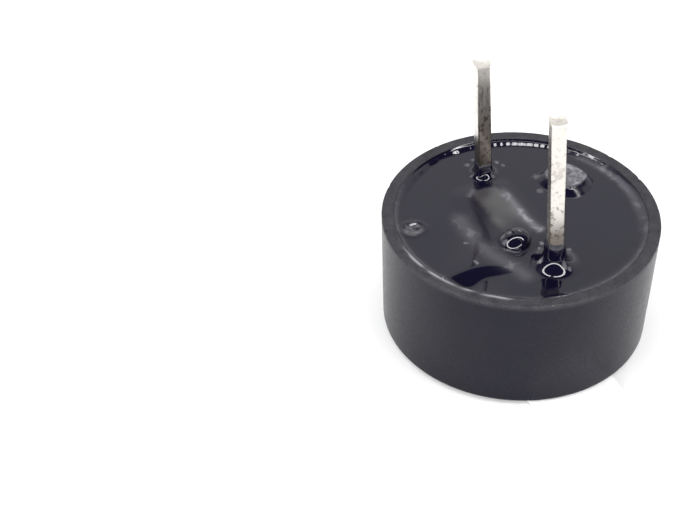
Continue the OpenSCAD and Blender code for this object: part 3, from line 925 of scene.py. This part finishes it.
def slope(x, y):
    """A slope that faces the near wall: the surface rises gently, falls, and recovers."""
    down = x * math.cos(SLOPE_BEARING) + y * math.sin(SLOPE_BEARING)
    across = y * math.cos(SLOPE_BEARING) - x * math.sin(SLOPE_BEARING)
    far, near = [sum(between_stops(across + shift / 20, stops) for shift in range(-3, 4)) / 7
                 for stops in (SLOPE_FAR, SLOPE_NEAR)]
    fall = SLOPE_FALL * (near - far)
    if down < far:
        return 0.5 * fall * smooth_step(far - 2.4, far, down)
    if down > near:
        return -0.5 * fall * (1 - smooth_step(near, near + 1.3, down))
    return 0.5 * fall - SLOPE_FALL * (down - far)


def past_mound_top(x, y):
    """Distance outside the mound's uneven top; negative on it."""
    dx, dy = x - MOUND_AT[0], y - MOUND_AT[1]
    return math.hypot(dx, dy) - MOUND_TOP - 0.09 * wave(dx, dy, 0.6, 4.0)


def mound(x, y):
    """The lump of resin over the coil's joint, with a broken top."""
    flank = clamp(1 - past_mound_top(x, y) / MOUND_FLANK)
    broken = 0.12 * wave(x, y, 0.30, 7.0) + 0.07 * wave(x, y, 0.12, 8.0)
    return MOUND_HEIGHT * (flank + broken * smooth_step(0.8, 1.0, flank))


def pit(x, y):
    """The dish and the low lip of a burst bubble."""
    dx, dy = x - PIT_AT[0], y - PIT_AT[1]
    distance = math.hypot(dx, dy / 1.15) * (1 + 0.14 * wave(dx, dy, 0.25, 11.0))
    dish = 0.06 * (1 - smooth_step(0.04, 0.33, distance)) * (1 + 0.5 * wave(x, y, 0.13, 12.0))
    return 0.018 * bell(distance - 0.36, 0.08) - dish


def film_cover(x, y):
    """How much a point is over the transistor: 1 on its top, 0 away from it."""
    return 1 - smooth_step(0.02, 0.6, near_rectangle(x, y, TRANSISTOR_LOW, TRANSISTOR_HIGH))


def resin_height(x, y):
    """Height of the resin's surface over its level, away from the pins."""
    height = 0.007 * wave(x, y, 1.6, 0.5)
    height += slope(x, y)
    height = smooth_max(height, height + wall_climb(x, y), 0.01)
    height += FILM_HEIGHT * film_cover(x, y)
    return height + mound(x, y) + pit(x, y)


class Swelling:
    """A raised shape on the resin, drawn as a line of (radius, height) points.

    The level surface's points are shared out along that line by its length, so that steep
    stretches get as many as flat ones. Above the top height the surface is matt.
    """

    def __init__(self, x, y, reach, line, top=9.0):
        self.x, self.y, self.reach, self.top = x, y, reach, top
        self.stops, travelled = [(0.0, Vector(line[0]))], 0.0
        for point in line[1:]:
            travelled += math.dist(self.stops[-1][1], point)
            self.stops.append((travelled, Vector(point)))

    def along(self, share):
        """Radius and height at a share of the line's length."""
        return between_stops(share * self.stops[-1][0], self.stops)

    def matt(self, x, y, height):
        """How rough the surface is at a place: 1 from the top of a pin's neck."""
        return smooth_step(self.top - 0.1, self.top, height)


class PinCollar(Swelling):
    """The resin that climbs one pin: a round fillet, a neck and a thin coat.

    Points nearer than INSIDE end up within the pin. The coat is as square as the pin.
    """
    INSIDE = 0.15
    SQUARENESS = 7

    def __init__(self, pins, level, x, angle, reach, fillet, neck, seed):
        lean = math.tan(pins.lean)
        self.lean = (lean * math.cos(pins.lean_direction), lean * math.sin(pins.lean_direction))
        rise = level - PIN_FOOT_Z
        line = [(reach - fillet * math.sin(math.radians(tilt)),
                 fillet * (1 - math.cos(math.radians(tilt)))) for tilt in range(0, 83, 2)]
        super().__init__(x + self.lean[0] * rise, self.lean[1] * rise, reach, line + list(neck),
                         top=neck[-2][1])
        self.angle, self.seed = angle, seed

    def place(self, x, y):
        """Where a point of the level surface goes, and how high; None away from the pin."""
        dx, dy = x - self.x, y - self.y
        distance = math.hypot(dx, dy)
        if distance >= self.reach:
            return None
        bearing = math.atan2(dy, dx)
        share = (self.reach - distance) / (self.reach - self.INSIDE)
        radius, height = self.along(min(1.0, share))
        if share > 1.0:
            radius *= distance / self.INSIDE
            height -= 0.03 * min(1.0, (share - 1.0) * 6)
        sides = [abs(side(bearing - self.angle)) ** self.SQUARENESS
                 for side in (math.cos, math.sin)]
        square = sum(sides) ** (-1 / self.SQUARENESS)
        near = 1 - smooth_step(0.25, 0.37, radius)
        radius *= 1 + (square - 1) * near
        lump = noise.noise(Vector((math.cos(bearing) * 1.6, math.sin(bearing) * 1.6,
                                   height * 3.2 + self.seed)))
        radius *= 1 + 0.05 * lump * smooth_step(0.34, 0.5, height) * near
        return (self.x + self.lean[0] * height + radius * math.cos(bearing),
                self.y + self.lean[1] * height + radius * math.sin(bearing), height)


class Drop(Swelling):
    """The drop of resin over the transistor's end. Its foot reaches FOOT times as far out."""
    FOOT = 1.2

    def __init__(self):
        size = sum(DROP_HALF) / 2
        dome = [(radius * size, height * DROP_HEIGHT)
                for radius, height in arc((0.0, 0.0), 1.0, 8, 90, 20)]
        line = [(self.FOOT * size, 0.0), (1.03 * size, 0.0), *dome]
        super().__init__(*DROP_AT, self.FOOT * max(DROP_HALF), line)
        self.size = size

    def place(self, x, y):
        """Where a point of the level surface goes, and how high; None away from the drop."""
        turned = Matrix.Rotation(DROP_TURN, 2)
        along, across = turned.transposed() @ Vector((x - self.x, y - self.y))
        along, across = along / DROP_HALF[0], across / DROP_HALF[1]
        distance = math.hypot(along, across)
        if not 0.0 < distance < self.FOOT:
            return None
        radius, height = self.along(1 - distance / self.FOOT)
        radius /= self.size * distance
        dx, dy = turned @ Vector((along * radius * DROP_HALF[0], across * radius * DROP_HALF[1]))
        return (self.x + dx + DROP_LEAN[0] * height, self.y + dy + DROP_LEAN[1] * height,
                height)

    def matt(self, x, y, height):
        """How rough the surface is at a place: more along the foot and on the far side."""
        down = (x - self.x) * math.cos(SLOPE_BEARING) + (y - self.y) * math.sin(SLOPE_BEARING)
        return max(0.7 * smooth_step(-0.08, -0.34, down), smooth_step(0.08, 0.03, height))


def resin_level(scene):
    """Height of the resin's level surface, in millimetres."""
    return RIM_Z - scene.buzzer_resin.drop / MM


def on_level(vert, level):
    """Whether a point is on the level surface."""
    return abs(vert.co.z - level) < 1e-4


def refine(mesh, level, places, cuts):
    """Divides the level surface's faces near some (x, y, reach) places."""
    chosen = {vert for vert in mesh.verts if on_level(vert, level) and any(
        math.hypot(vert.co.x - x, vert.co.y - y) < reach for x, y, reach in places)}
    edges = [edge for edge in mesh.edges if all(vert in chosen for vert in edge.verts)]
    bmesh.ops.subdivide_edges(mesh, edges=edges, cuts=cuts, use_grid_fill=True)


def shape_resin(mesh, level, swellings):
    """Moves the points of the level surface to the shape of the cast resin."""
    film, haze, matt = point_layers(mesh, "film", "haze", "matt")
    for vert in mesh.verts:
        x, y = vert.co.x, vert.co.y
        if not on_level(vert, level):
            continue
        vert[film] = film_tone(x, y)
        vert[haze] = haze_tone(x, y)
        vert[matt] = kink_tone(x, y)
        height = resin_height(x, y)
        for swelling in swellings:
            moved = swelling.place(x, y)
            if moved:
                vert[matt] = swelling.matt(*moved)
                x, y, height = moved[0], moved[1], moved[2] + height
                break
        vert[haze] = max(vert[haze], lump_tone(x, y))
        vert.co = (x, y, level + height)


def kink_tone(x, y):
    """How rough the surface is away from the pins: on the mound's foot, a flank and the film."""
    outside = past_mound_top(x, y) - MOUND_FLANK
    bearing = polar(x - MOUND_AT[0], y - MOUND_AT[1])[1]
    flank = bell(outside + 0.16, 0.15) * bell(bearing - 4, 12)
    return max(bell(outside, 0.05), 0.7 * flank, 0.4 * film_cover(x, y))


def lump_tone(x, y):
    """Pale crumbs on the resin."""
    tone = 0.0
    for at_x, at_y, size, strength in CRUMBS:
        distance = math.hypot(x - at_x, y - at_y) * (1 + 0.5 * wave(x, y, 0.08, 51.0))
        tone = max(tone, strength * (1 - smooth_step(0.5 * size, size, distance)))
    return tone


def film_tone(x, y):
    """How much of the transistor's dull top shows through."""
    outside = near_rectangle(x, y, FILM_LOW, FILM_HIGH) + 0.09 * wave(x, y, 0.3, 22.0)
    cover = 1 - smooth_step(-0.15, 0.10, outside)
    cover *= 1 - 0.75 * smooth_step(-0.3, 0.75, x)
    return cover * (0.42 + 0.32 * wave(x, y, 0.6, 21.0))


def mound_haze(x, y):
    """The pale, broken top of the mound."""
    top = 1 - smooth_step(-0.08, 0.05, past_mound_top(x, y))
    return top * (0.55 + 0.5 * wave(x, y, 0.22, 31.0) + 0.35 * wave(x, y, 0.10, 32.0))


def pit_haze(x, y):
    """The pale blot in the pit, with a clear place in it."""
    distance = math.hypot(x - PIT_AT[0], y - PIT_AT[1])
    blot = 0.30 * (1 - smooth_step(0.16, 0.42, distance)) * (1 + wave(x, y, 0.14, 33.0))
    return blot * smooth_step(0.05, 0.11, math.dist((x, y), PIT_GLINT_AT))


def streak_haze(x, y):
    """The soft pale streaks."""
    tone = 0.0
    for line, width, strength in STREAKS:
        distance, share = from_line(x, y, line)
        ends = rise_and_fall(share, (0.0, 0.12), (0.85, 1.0))
        tone += strength * ends * bell(distance, width)
    return tone


def wall_haze(x, y):
    """The pale bands along the wall."""
    radius, bearing = polar(x, y)
    band = bell(radius - BORE_R + 0.20, 0.14)
    tone = 0.30 * band * rise_and_fall(bearing, (45, 95), (118, 130))
    band = smooth_step(BORE_R - 0.22, BORE_R - 0.05, radius) * (0.6 + 0.4 * wave(x, y, 0.4, 41.0))
    return tone + 0.16 * band * rise_and_fall(bearing, (-150, -120), (60, 90))


def haze_tone(x, y):
    """How pale the resin is."""
    return clamp(sum(haze(x, y) for haze in (mound_haze, pit_haze, streak_haze, wall_haze)))


# Steps of the cast resin round the axis, and rings of points on its level surface: evenly
# spaced up to the fine ones, which reach FINE_WIDTH in from the wall
RESIN_STEPS = 380
EVEN_RINGS = 70
FINE_RINGS = 32
FINE_WIDTH = 0.5


def cast_outline(level):
    """The cast resin before it is shaped: its level surface, and the walls down to the board."""
    fine_from = BORE_R - FINE_WIDTH
    surface = [0.0, *evenly(0.0, fine_from, EVEN_RINGS), *evenly(fine_from, BORE_R, FINE_RINGS)]
    return [*[(radius, level) for radius in surface], (BORE_R, level - 0.12),
            (BORE_R, BOARD_LOW.z), (BOARD_HIGH.x, BOARD_LOW.z), (BOARD_HIGH.x, BOARD_HIGH.z),
            (0.0, BOARD_HIGH.z)]


# The two collars: reach and fillet's radius, and the neck as (radius, height) points
FRONT_COLLAR = (0.88, 0.52, ((0.352, 0.56), (0.335, 0.68), (0.312, 0.80), (0.205, 0.95)))
BACK_COLLAR = (0.57, 0.30, ((0.264, 0.36), (0.254, 0.46), (0.205, 0.55)))


class BUZZER_OT_make_resin(bpy.types.Operator):
    """Makes the cast resin with its climbs, drop, mound, film and pit"""
    bl_idname = "buzzer.make_resin"
    bl_label = "Potting resin"

    def execute(self, context):
        settings = context.scene.buzzer_resin
        pins = context.scene.buzzer_pins
        level = resin_level(context.scene)
        half = pins.pitch / MM / 2
        mesh = bmesh.new()
        spun(mesh, cast_outline(level), RESIN_STEPS, closed=False)
        shapes = (PinCollar(pins, level, half, pins.positive_turn, *FRONT_COLLAR, 0.0),
                  PinCollar(pins, level, -half, pins.negative_turn, *BACK_COLLAR, 5.0), Drop())
        refine(mesh, level, [(*MOUND_AT, 1.05), (*PIT_AT, 0.55)], 1)
        refine(mesh, level, [(shape.x, shape.y, shape.reach + 0.04) for shape in shapes], 2)
        shape_resin(mesh, level, shapes)
        bmesh.ops.recalc_face_normals(mesh, faces=mesh.faces)
        sharpen(mesh, 40, below=level - 0.05)
        finish_piece(mesh, "cast_resin", potting_resin(settings), "potting",
                     weighted=False)
        return {"FINISHED"}


# ---------------------------------------------------------------- pins

# A pin's rounding, and where it is cut across: near its end, as distances from it, and in
# even steps below that
PIN_ROUNDING = 0.035
END_CUTS = (0.02, 0.06, 0.12, 0.2, 0.32)
SHAFT_CUTS = 40
# Each pin's tones, as stops of millimetres above the resin and amount: how dull and how tarnished
# it is, and how much painted shade, partly real stain, darkens its side that faces +X, and the
# other sides
POSITIVE_TONES_AND_SHADE = (
    ((0.9, 0.8), (2.4, 0.08), (5.34, 0.05), (5.42, 0.9)),
    ((0.9, 1.0), (3.8, 0.15)),
    ((1.0, 1.0), (1.3, 0.93), (1.55, 0.6), (1.9, 0.24), (2.4, 0.16)),
    ((0.95, 0.90), (1.35, 0.70), (2.0, 0.25), (5.0, 0.15)),
)
NEGATIVE_TONES_AND_SHADE = (
    ((4.34, 0.0), (4.42, 0.9)),
    ((0.5, 0.6), (4.0, 0.15)),
    ((0.5, 1.0), (1.6, 1.0), (2.6, 0.82), (3.3, 0.50), (4.1, 0.06)),
    ((0.9, 0.90), (1.4, 0.60), (1.8, 0.10), (2.2, 0.0)),
)


def cut(mesh, at, normal):
    """Cuts a whole mesh along a plane, and keeps both sides."""
    bmesh.ops.bisect_plane(mesh, geom=mesh.verts[:] + mesh.edges[:] + mesh.faces[:],
                           plane_co=at, plane_no=normal)


def square_rod(width, full):
    """An upright rod with rounded edges, cut into faces that are small enough to shape."""
    mesh = bmesh.new()
    bmesh.ops.create_cube(mesh, size=1.0)
    bmesh.ops.scale(mesh, vec=(width, width, full), verts=mesh.verts)
    bmesh.ops.translate(mesh, vec=(0, 0, full / 2), verts=mesh.verts)
    upright = [edge for edge in mesh.edges
               if abs(edge.verts[0].co.z - edge.verts[1].co.z) > 0.1]
    bevel(mesh, upright, PIN_ROUNDING, 3)
    for below in END_CUTS:
        cut(mesh, (0, 0, full - below), (0, 0, 1))
    for step in range(1, SHAFT_CUTS):
        cut(mesh, (0, 0, (full - END_CUTS[-1]) * step / SHAFT_CUTS), (0, 0, 1))
    flat = width / 2 - PIN_ROUNDING - 0.01
    for normal in ((1, 0, 0), (0, 1, 0)):
        for step in range(-4, 5):
            cut(mesh, Vector(normal) * flat * step / 4, normal)
    return mesh


def shear_end(mesh, half, full, seed):
    """Hollows and spreads the sheared end of a pin, and gives its sides a slight wobble."""
    for vert in mesh.verts:
        co = vert.co
        across = abs(co.y / half)
        hollow = 0.085 * (1 - min(1.0, across) ** 2.4)
        dish = 0.03 * (1 - min(1.0, abs(co.x / half)) ** 2)
        spread = 0.10 * smooth_step(full - 0.17, full, co.z) * across ** 3
        wobble = 0.004 * noise.noise(Vector((0, 0, co.z / 0.9 + seed)))
        share = 1.0 if co.z > full - 0.03 else smooth_step(full - 0.30, full, co.z)
        co.z -= (hollow + dish) * share
        co.y *= 1 + spread
        co.x += wobble
        co.y += 0.004 * noise.noise(Vector((0, 3, co.z / 0.7 + seed)))


def tone_pin(mesh, half, depth, tones_and_shade):
    """Notes on each point how dull and how tarnished the pin is there, and how much painted shade
    darkens it, by height and by side.
    """
    dull, tarnish, shade = point_layers(mesh, "dull", "tarnish", "shade")
    for vert in mesh.verts:
        up = vert.co.z - depth
        # facing and aside_shade are the painted shade of the side that faces +X and of the other
        # sides.
        vert[dull], vert[tarnish], facing, aside_shade = [between_stops(up, stops) for stops in tones_and_shade]
        share = smooth_step(half * 0.6, half * 0.98, vert.co.x)
        vert[shade] = aside_shade + (facing - aside_shade) * share


def make_pin(name, node, context, x, angle, length_above, material, seed, tones_and_shade):
    """A square drawn pin with rounded edges and a hollow, sheared end."""
    settings = context.scene.buzzer_pins
    width = settings.width / MM
    depth = (resin_level(context.scene) - PIN_FOOT_Z) / math.cos(settings.lean)
    full = depth + length_above / MM
    mesh = square_rod(width, full)
    shear_end(mesh, width / 2, full, seed)
    tone_pin(mesh, width / 2, depth, tones_and_shade)
    lean_axis = Vector((-math.sin(settings.lean_direction), math.cos(settings.lean_direction), 0))
    place = (Matrix.Translation((x, 0, PIN_FOOT_Z))
             @ Matrix.Rotation(settings.lean, 4, lean_axis)
             @ Matrix.Rotation(angle, 4, "Z"))
    bmesh.ops.transform(mesh, matrix=place, verts=mesh.verts)
    bmesh.ops.recalc_face_normals(mesh, faces=mesh.faces)
    sharpen(mesh, 50)
    finish_piece(mesh, name, material, node)


class BUZZER_OT_make_pins(bpy.types.Operator):
    """Makes the two square pins with their sheared ends"""
    bl_idname = "buzzer.make_pins"
    bl_label = "Pins"

    def execute(self, context):
        settings = context.scene.buzzer_pins
        material = tin_plate(settings)
        half = settings.pitch / MM / 2
        make_pin("positive_square_pin", "positive_pin", context, half, settings.positive_turn,
                 settings.positive_length, material, 0.0, POSITIVE_TONES_AND_SHADE)
        make_pin("negative_square_pin", "negative_pin", context, -half, settings.negative_turn,
                 settings.negative_length, material, 7.0, NEGATIVE_TONES_AND_SHADE)
        coat_nodes(["transistor_leads", "resistor_caps"], material)
        return {"FINISHED"}


# ---------------------------------------------------------------- inner parts

class BUZZER_OT_finish_sounder(bpy.types.Operator):
    """Finishes the diaphragm, armature, ring, magnet, core and yoke"""
    bl_idname = "buzzer.finish_sounder"
    bl_label = "Sounder parts"

    def execute(self, context):
        coat_nodes(["diaphragm"], plain_finish("spring_steel"))
        coat_nodes(["armature_disc", "pole_core", "yoke_plate"], plain_finish("iron"))
        coat_nodes(["support_ring"], plain_finish("ring_brass"))
        coat_nodes(["ring_magnet"], plain_finish("magnet"))
        return {"FINISHED"}


class BUZZER_OT_finish_coils(bpy.types.Operator):
    """Finishes the two windings"""
    bl_idname = "buzzer.finish_coils"
    bl_label = "Windings"

    def execute(self, context):
        coat_nodes(["drive_winding", "sense_winding"], copper_wire())
        return {"FINISHED"}


class BUZZER_OT_finish_board(bpy.types.Operator):
    """Finishes the board and what is soldered to it"""
    bl_idname = "buzzer.finish_board"
    bl_label = "Board parts"

    def execute(self, context):
        coat_nodes(["circuit_board"], plain_finish("board_laminate"))
        coat_nodes(["copper_tracks"], plain_finish("board_copper"))
        coat_nodes(["transistor_body"], plain_finish("moulding_compound"))
        coat_nodes(["resistor_body"], plain_finish("resistor_ceramic"))
        coat_nodes(["chip_solder", "coil_solder", "pin_solder"], plain_finish("solder"))
        return {"FINISHED"}


# ---------------------------------------------------------------- stage

# Places and distances in millimetres. The ring of lamps and the room's dark stretch share one
# axis, which runs from the case's rim to a place above the camera.
CAMERA_AT = Vector((31.96, -18.71, 34.0))
CAMERA_BEARING = math.radians(158.8)
CAMERA_PITCH = math.radians(40.57)
CAMERA_ROLL = math.radians(-1.25)
RING_BEARING = math.radians(-30.3)
RING_RISE = math.radians(50.0)
RING_SPREAD = math.radians(46.3)
RING_DISTANCE = 110.0
LAMP_SPAN = math.radians(7.8)
FLOOR_HALF = 65.0
# Cosines of the angles from the axis at which the dark stretch starts and is full, and how
# much wider it is to both sides
DARK_EDGE = (0.309, 0.438)
DARK_WIDENING = 0.35
DARK_COLOUR = (0.055, 0.055, 0.06)
UP = Vector((0, 0, 1))


def towards(bearing, rise):
    """A unit vector at a bearing from +X and a rise above the floor."""
    return Vector((math.cos(bearing) * math.cos(rise), math.sin(bearing) * math.cos(rise),
                   math.sin(rise)))


def make_camera(settings):
    """The scene's camera."""
    forward = towards(CAMERA_BEARING, -CAMERA_PITCH)
    level_right = forward.cross(UP).normalized()
    level_up = level_right.cross(forward)
    right = math.cos(CAMERA_ROLL) * level_right + math.sin(CAMERA_ROLL) * level_up
    up = math.cos(CAMERA_ROLL) * level_up - math.sin(CAMERA_ROLL) * level_right
    data = bpy.data.cameras.new("Camera")
    data.lens = settings.lens
    data.sensor_width = 36.0
    data.clip_start = 1.0 * MM
    data.clip_end = 10.0
    camera = add_object("Camera", data)
    turned = Matrix((right, up, -forward)).transposed().to_4x4()
    camera.matrix_world = Matrix.Translation(CAMERA_AT * MM) @ turned
    bpy.context.scene.camera = camera


def make_floor(settings):
    """A plain pale floor that takes a soft shadow."""
    mesh = bmesh.new()
    bmesh.ops.create_grid(mesh, x_segments=1, y_segments=1, size=FLOOR_HALF * MM)
    floor = add_mesh("floor", mesh)
    material, sheet, shader = new_material("Floor")
    shader.inputs["Base Color"].default_value = (*settings.floor, 1.0)
    shader.inputs["Roughness"].default_value = 0.9
    shader.inputs["Specular IOR Level"].default_value = 0.0
    shader.inputs["Emission Color"].default_value = (1, 1, 1, 1)
    ray = sheet.add("LightPath").outputs
    mirrored = sheet.either(ray["Is Glossy Ray"], ray["Is Transmission Ray"])
    seen = sheet.either(ray["Is Camera Ray"], mirrored)
    sheet.feed(shader.inputs["Emission Strength"], sheet.times(seen, settings.floor_glow))
    floor.data.materials.append(material)


def make_lamps(settings):
    """A ring of small lamps round the camera's side of the scene."""
    axis = towards(RING_BEARING, RING_RISE)
    side = axis.cross(UP).normalized()
    top = side.cross(axis)
    target = Vector((0, 0, RIM_Z))
    size = 2 * RING_DISTANCE * math.tan(LAMP_SPAN / 2) * MM
    data = bpy.data.lights.new("Ring lamp", "AREA")
    data.shape = "DISK"
    data.size = size
    data.energy = settings.lamp_radiance * 4 * math.pi * (size / 2) ** 2
    for number in range(settings.lamps):
        angle = math.tau * (number + 0.5) / settings.lamps
        direction = (axis * math.cos(RING_SPREAD)
                     + (side * math.sin(angle) + top * math.cos(angle)) * math.sin(RING_SPREAD))
        lamp = add_object(f"Ring lamp {number + 1}", data)
        turned = direction.to_track_quat("Z", "Y").to_matrix().to_4x4()
        lamp.matrix_world = Matrix.Translation((target + direction * RING_DISTANCE) * MM) @ turned
        lamp.visible_camera = False


def make_world():
    """A white room with a dark stretch round the lens, where the camera's side is."""
    world = bpy.data.worlds.new("Room")
    bpy.context.scene.world = world
    world.use_nodes = True
    sheet = Sheet(world.node_tree)
    background = world.node_tree.nodes["Background"]
    direction = sheet.add("TexCoord").outputs["Generated"]
    axis = towards(RING_BEARING, RING_RISE)
    side = axis.cross(UP).normalized()
    facing, sideways = [sheet.add("VectorMath", {0: direction, 1: way},
                                  operation="DOT_PRODUCT").outputs["Value"]
                        for way in (axis, side)]
    wide = sheet.plus(facing, sheet.times(sheet.times(sideways, sideways), DARK_WIDENING))
    unseen = sheet.math("SUBTRACT", 1.0, sheet.add("LightPath").outputs["Is Camera Ray"])
    dark = sheet.times(sheet.between(wide, *DARK_EDGE), unseen)
    sheet.feed(background.inputs["Color"], sheet.mix(dark, (1, 1, 1), DARK_COLOUR))
    background.inputs["Strength"].default_value = 1.0


class BUZZER_OT_make_stage(bpy.types.Operator):
    """Makes the floor, the lamps, the room and the camera"""
    bl_idname = "buzzer.make_stage"
    bl_label = "Stage"

    def execute(self, context):
        settings = context.scene.buzzer_stage
        context.scene.view_settings.view_transform = "Standard"
        make_camera(settings)
        make_floor(settings)
        make_lamps(settings)
        make_world()
        return {"FINISHED"}


# ---------------------------------------------------------------- add-on

OPERATORS = (BUZZER_OT_make_stage, BUZZER_OT_make_case, BUZZER_OT_make_label,
             BUZZER_OT_make_resin, BUZZER_OT_make_pins, BUZZER_OT_finish_sounder,
             BUZZER_OT_finish_coils, BUZZER_OT_finish_board)


class VIEW3D_PT_buzzer(bpy.types.Panel):
    """Lists the buzzer's operators and settings"""
    bl_label = "Magnetic buzzer"
    bl_space_type = "VIEW_3D"
    bl_region_type = "UI"
    bl_category = "Buzzer"

    def draw(self, context):
        for operator in OPERATORS:
            self.layout.operator(operator.bl_idname)
        for held, group in SETTINGS.items():
            box = self.layout.box()
            box.label(text=group.__doc__.rstrip("."))
            for name in group.__annotations__:
                box.prop(getattr(context.scene, held), name)


def register():
    """Registers the settings, the operators and the panel."""
    for group in SETTINGS.values():
        bpy.utils.register_class(group)
    for cls in (*OPERATORS, VIEW3D_PT_buzzer):
        bpy.utils.register_class(cls)
    for held, group in SETTINGS.items():
        setattr(bpy.types.Scene, held, bpy.props.PointerProperty(type=group))


def unregister():
    """Takes the settings, the operators and the panel out again."""
    for held in SETTINGS:
        delattr(bpy.types.Scene, held)
    for cls in reversed((*SETTINGS.values(), *OPERATORS, VIEW3D_PT_buzzer)):
        bpy.utils.unregister_class(cls)


def main():
    """Makes the whole buzzer on its stage."""
    register()
    bpy.ops.buzzer.make_stage()
    bpy.ops.buzzer.make_case()
    bpy.ops.buzzer.make_label()
    bpy.ops.buzzer.make_resin()
    bpy.ops.buzzer.make_pins()
    bpy.ops.buzzer.finish_sounder()
    bpy.ops.buzzer.finish_coils()
    bpy.ops.buzzer.finish_board()


if __name__ == "__main__":
    main()
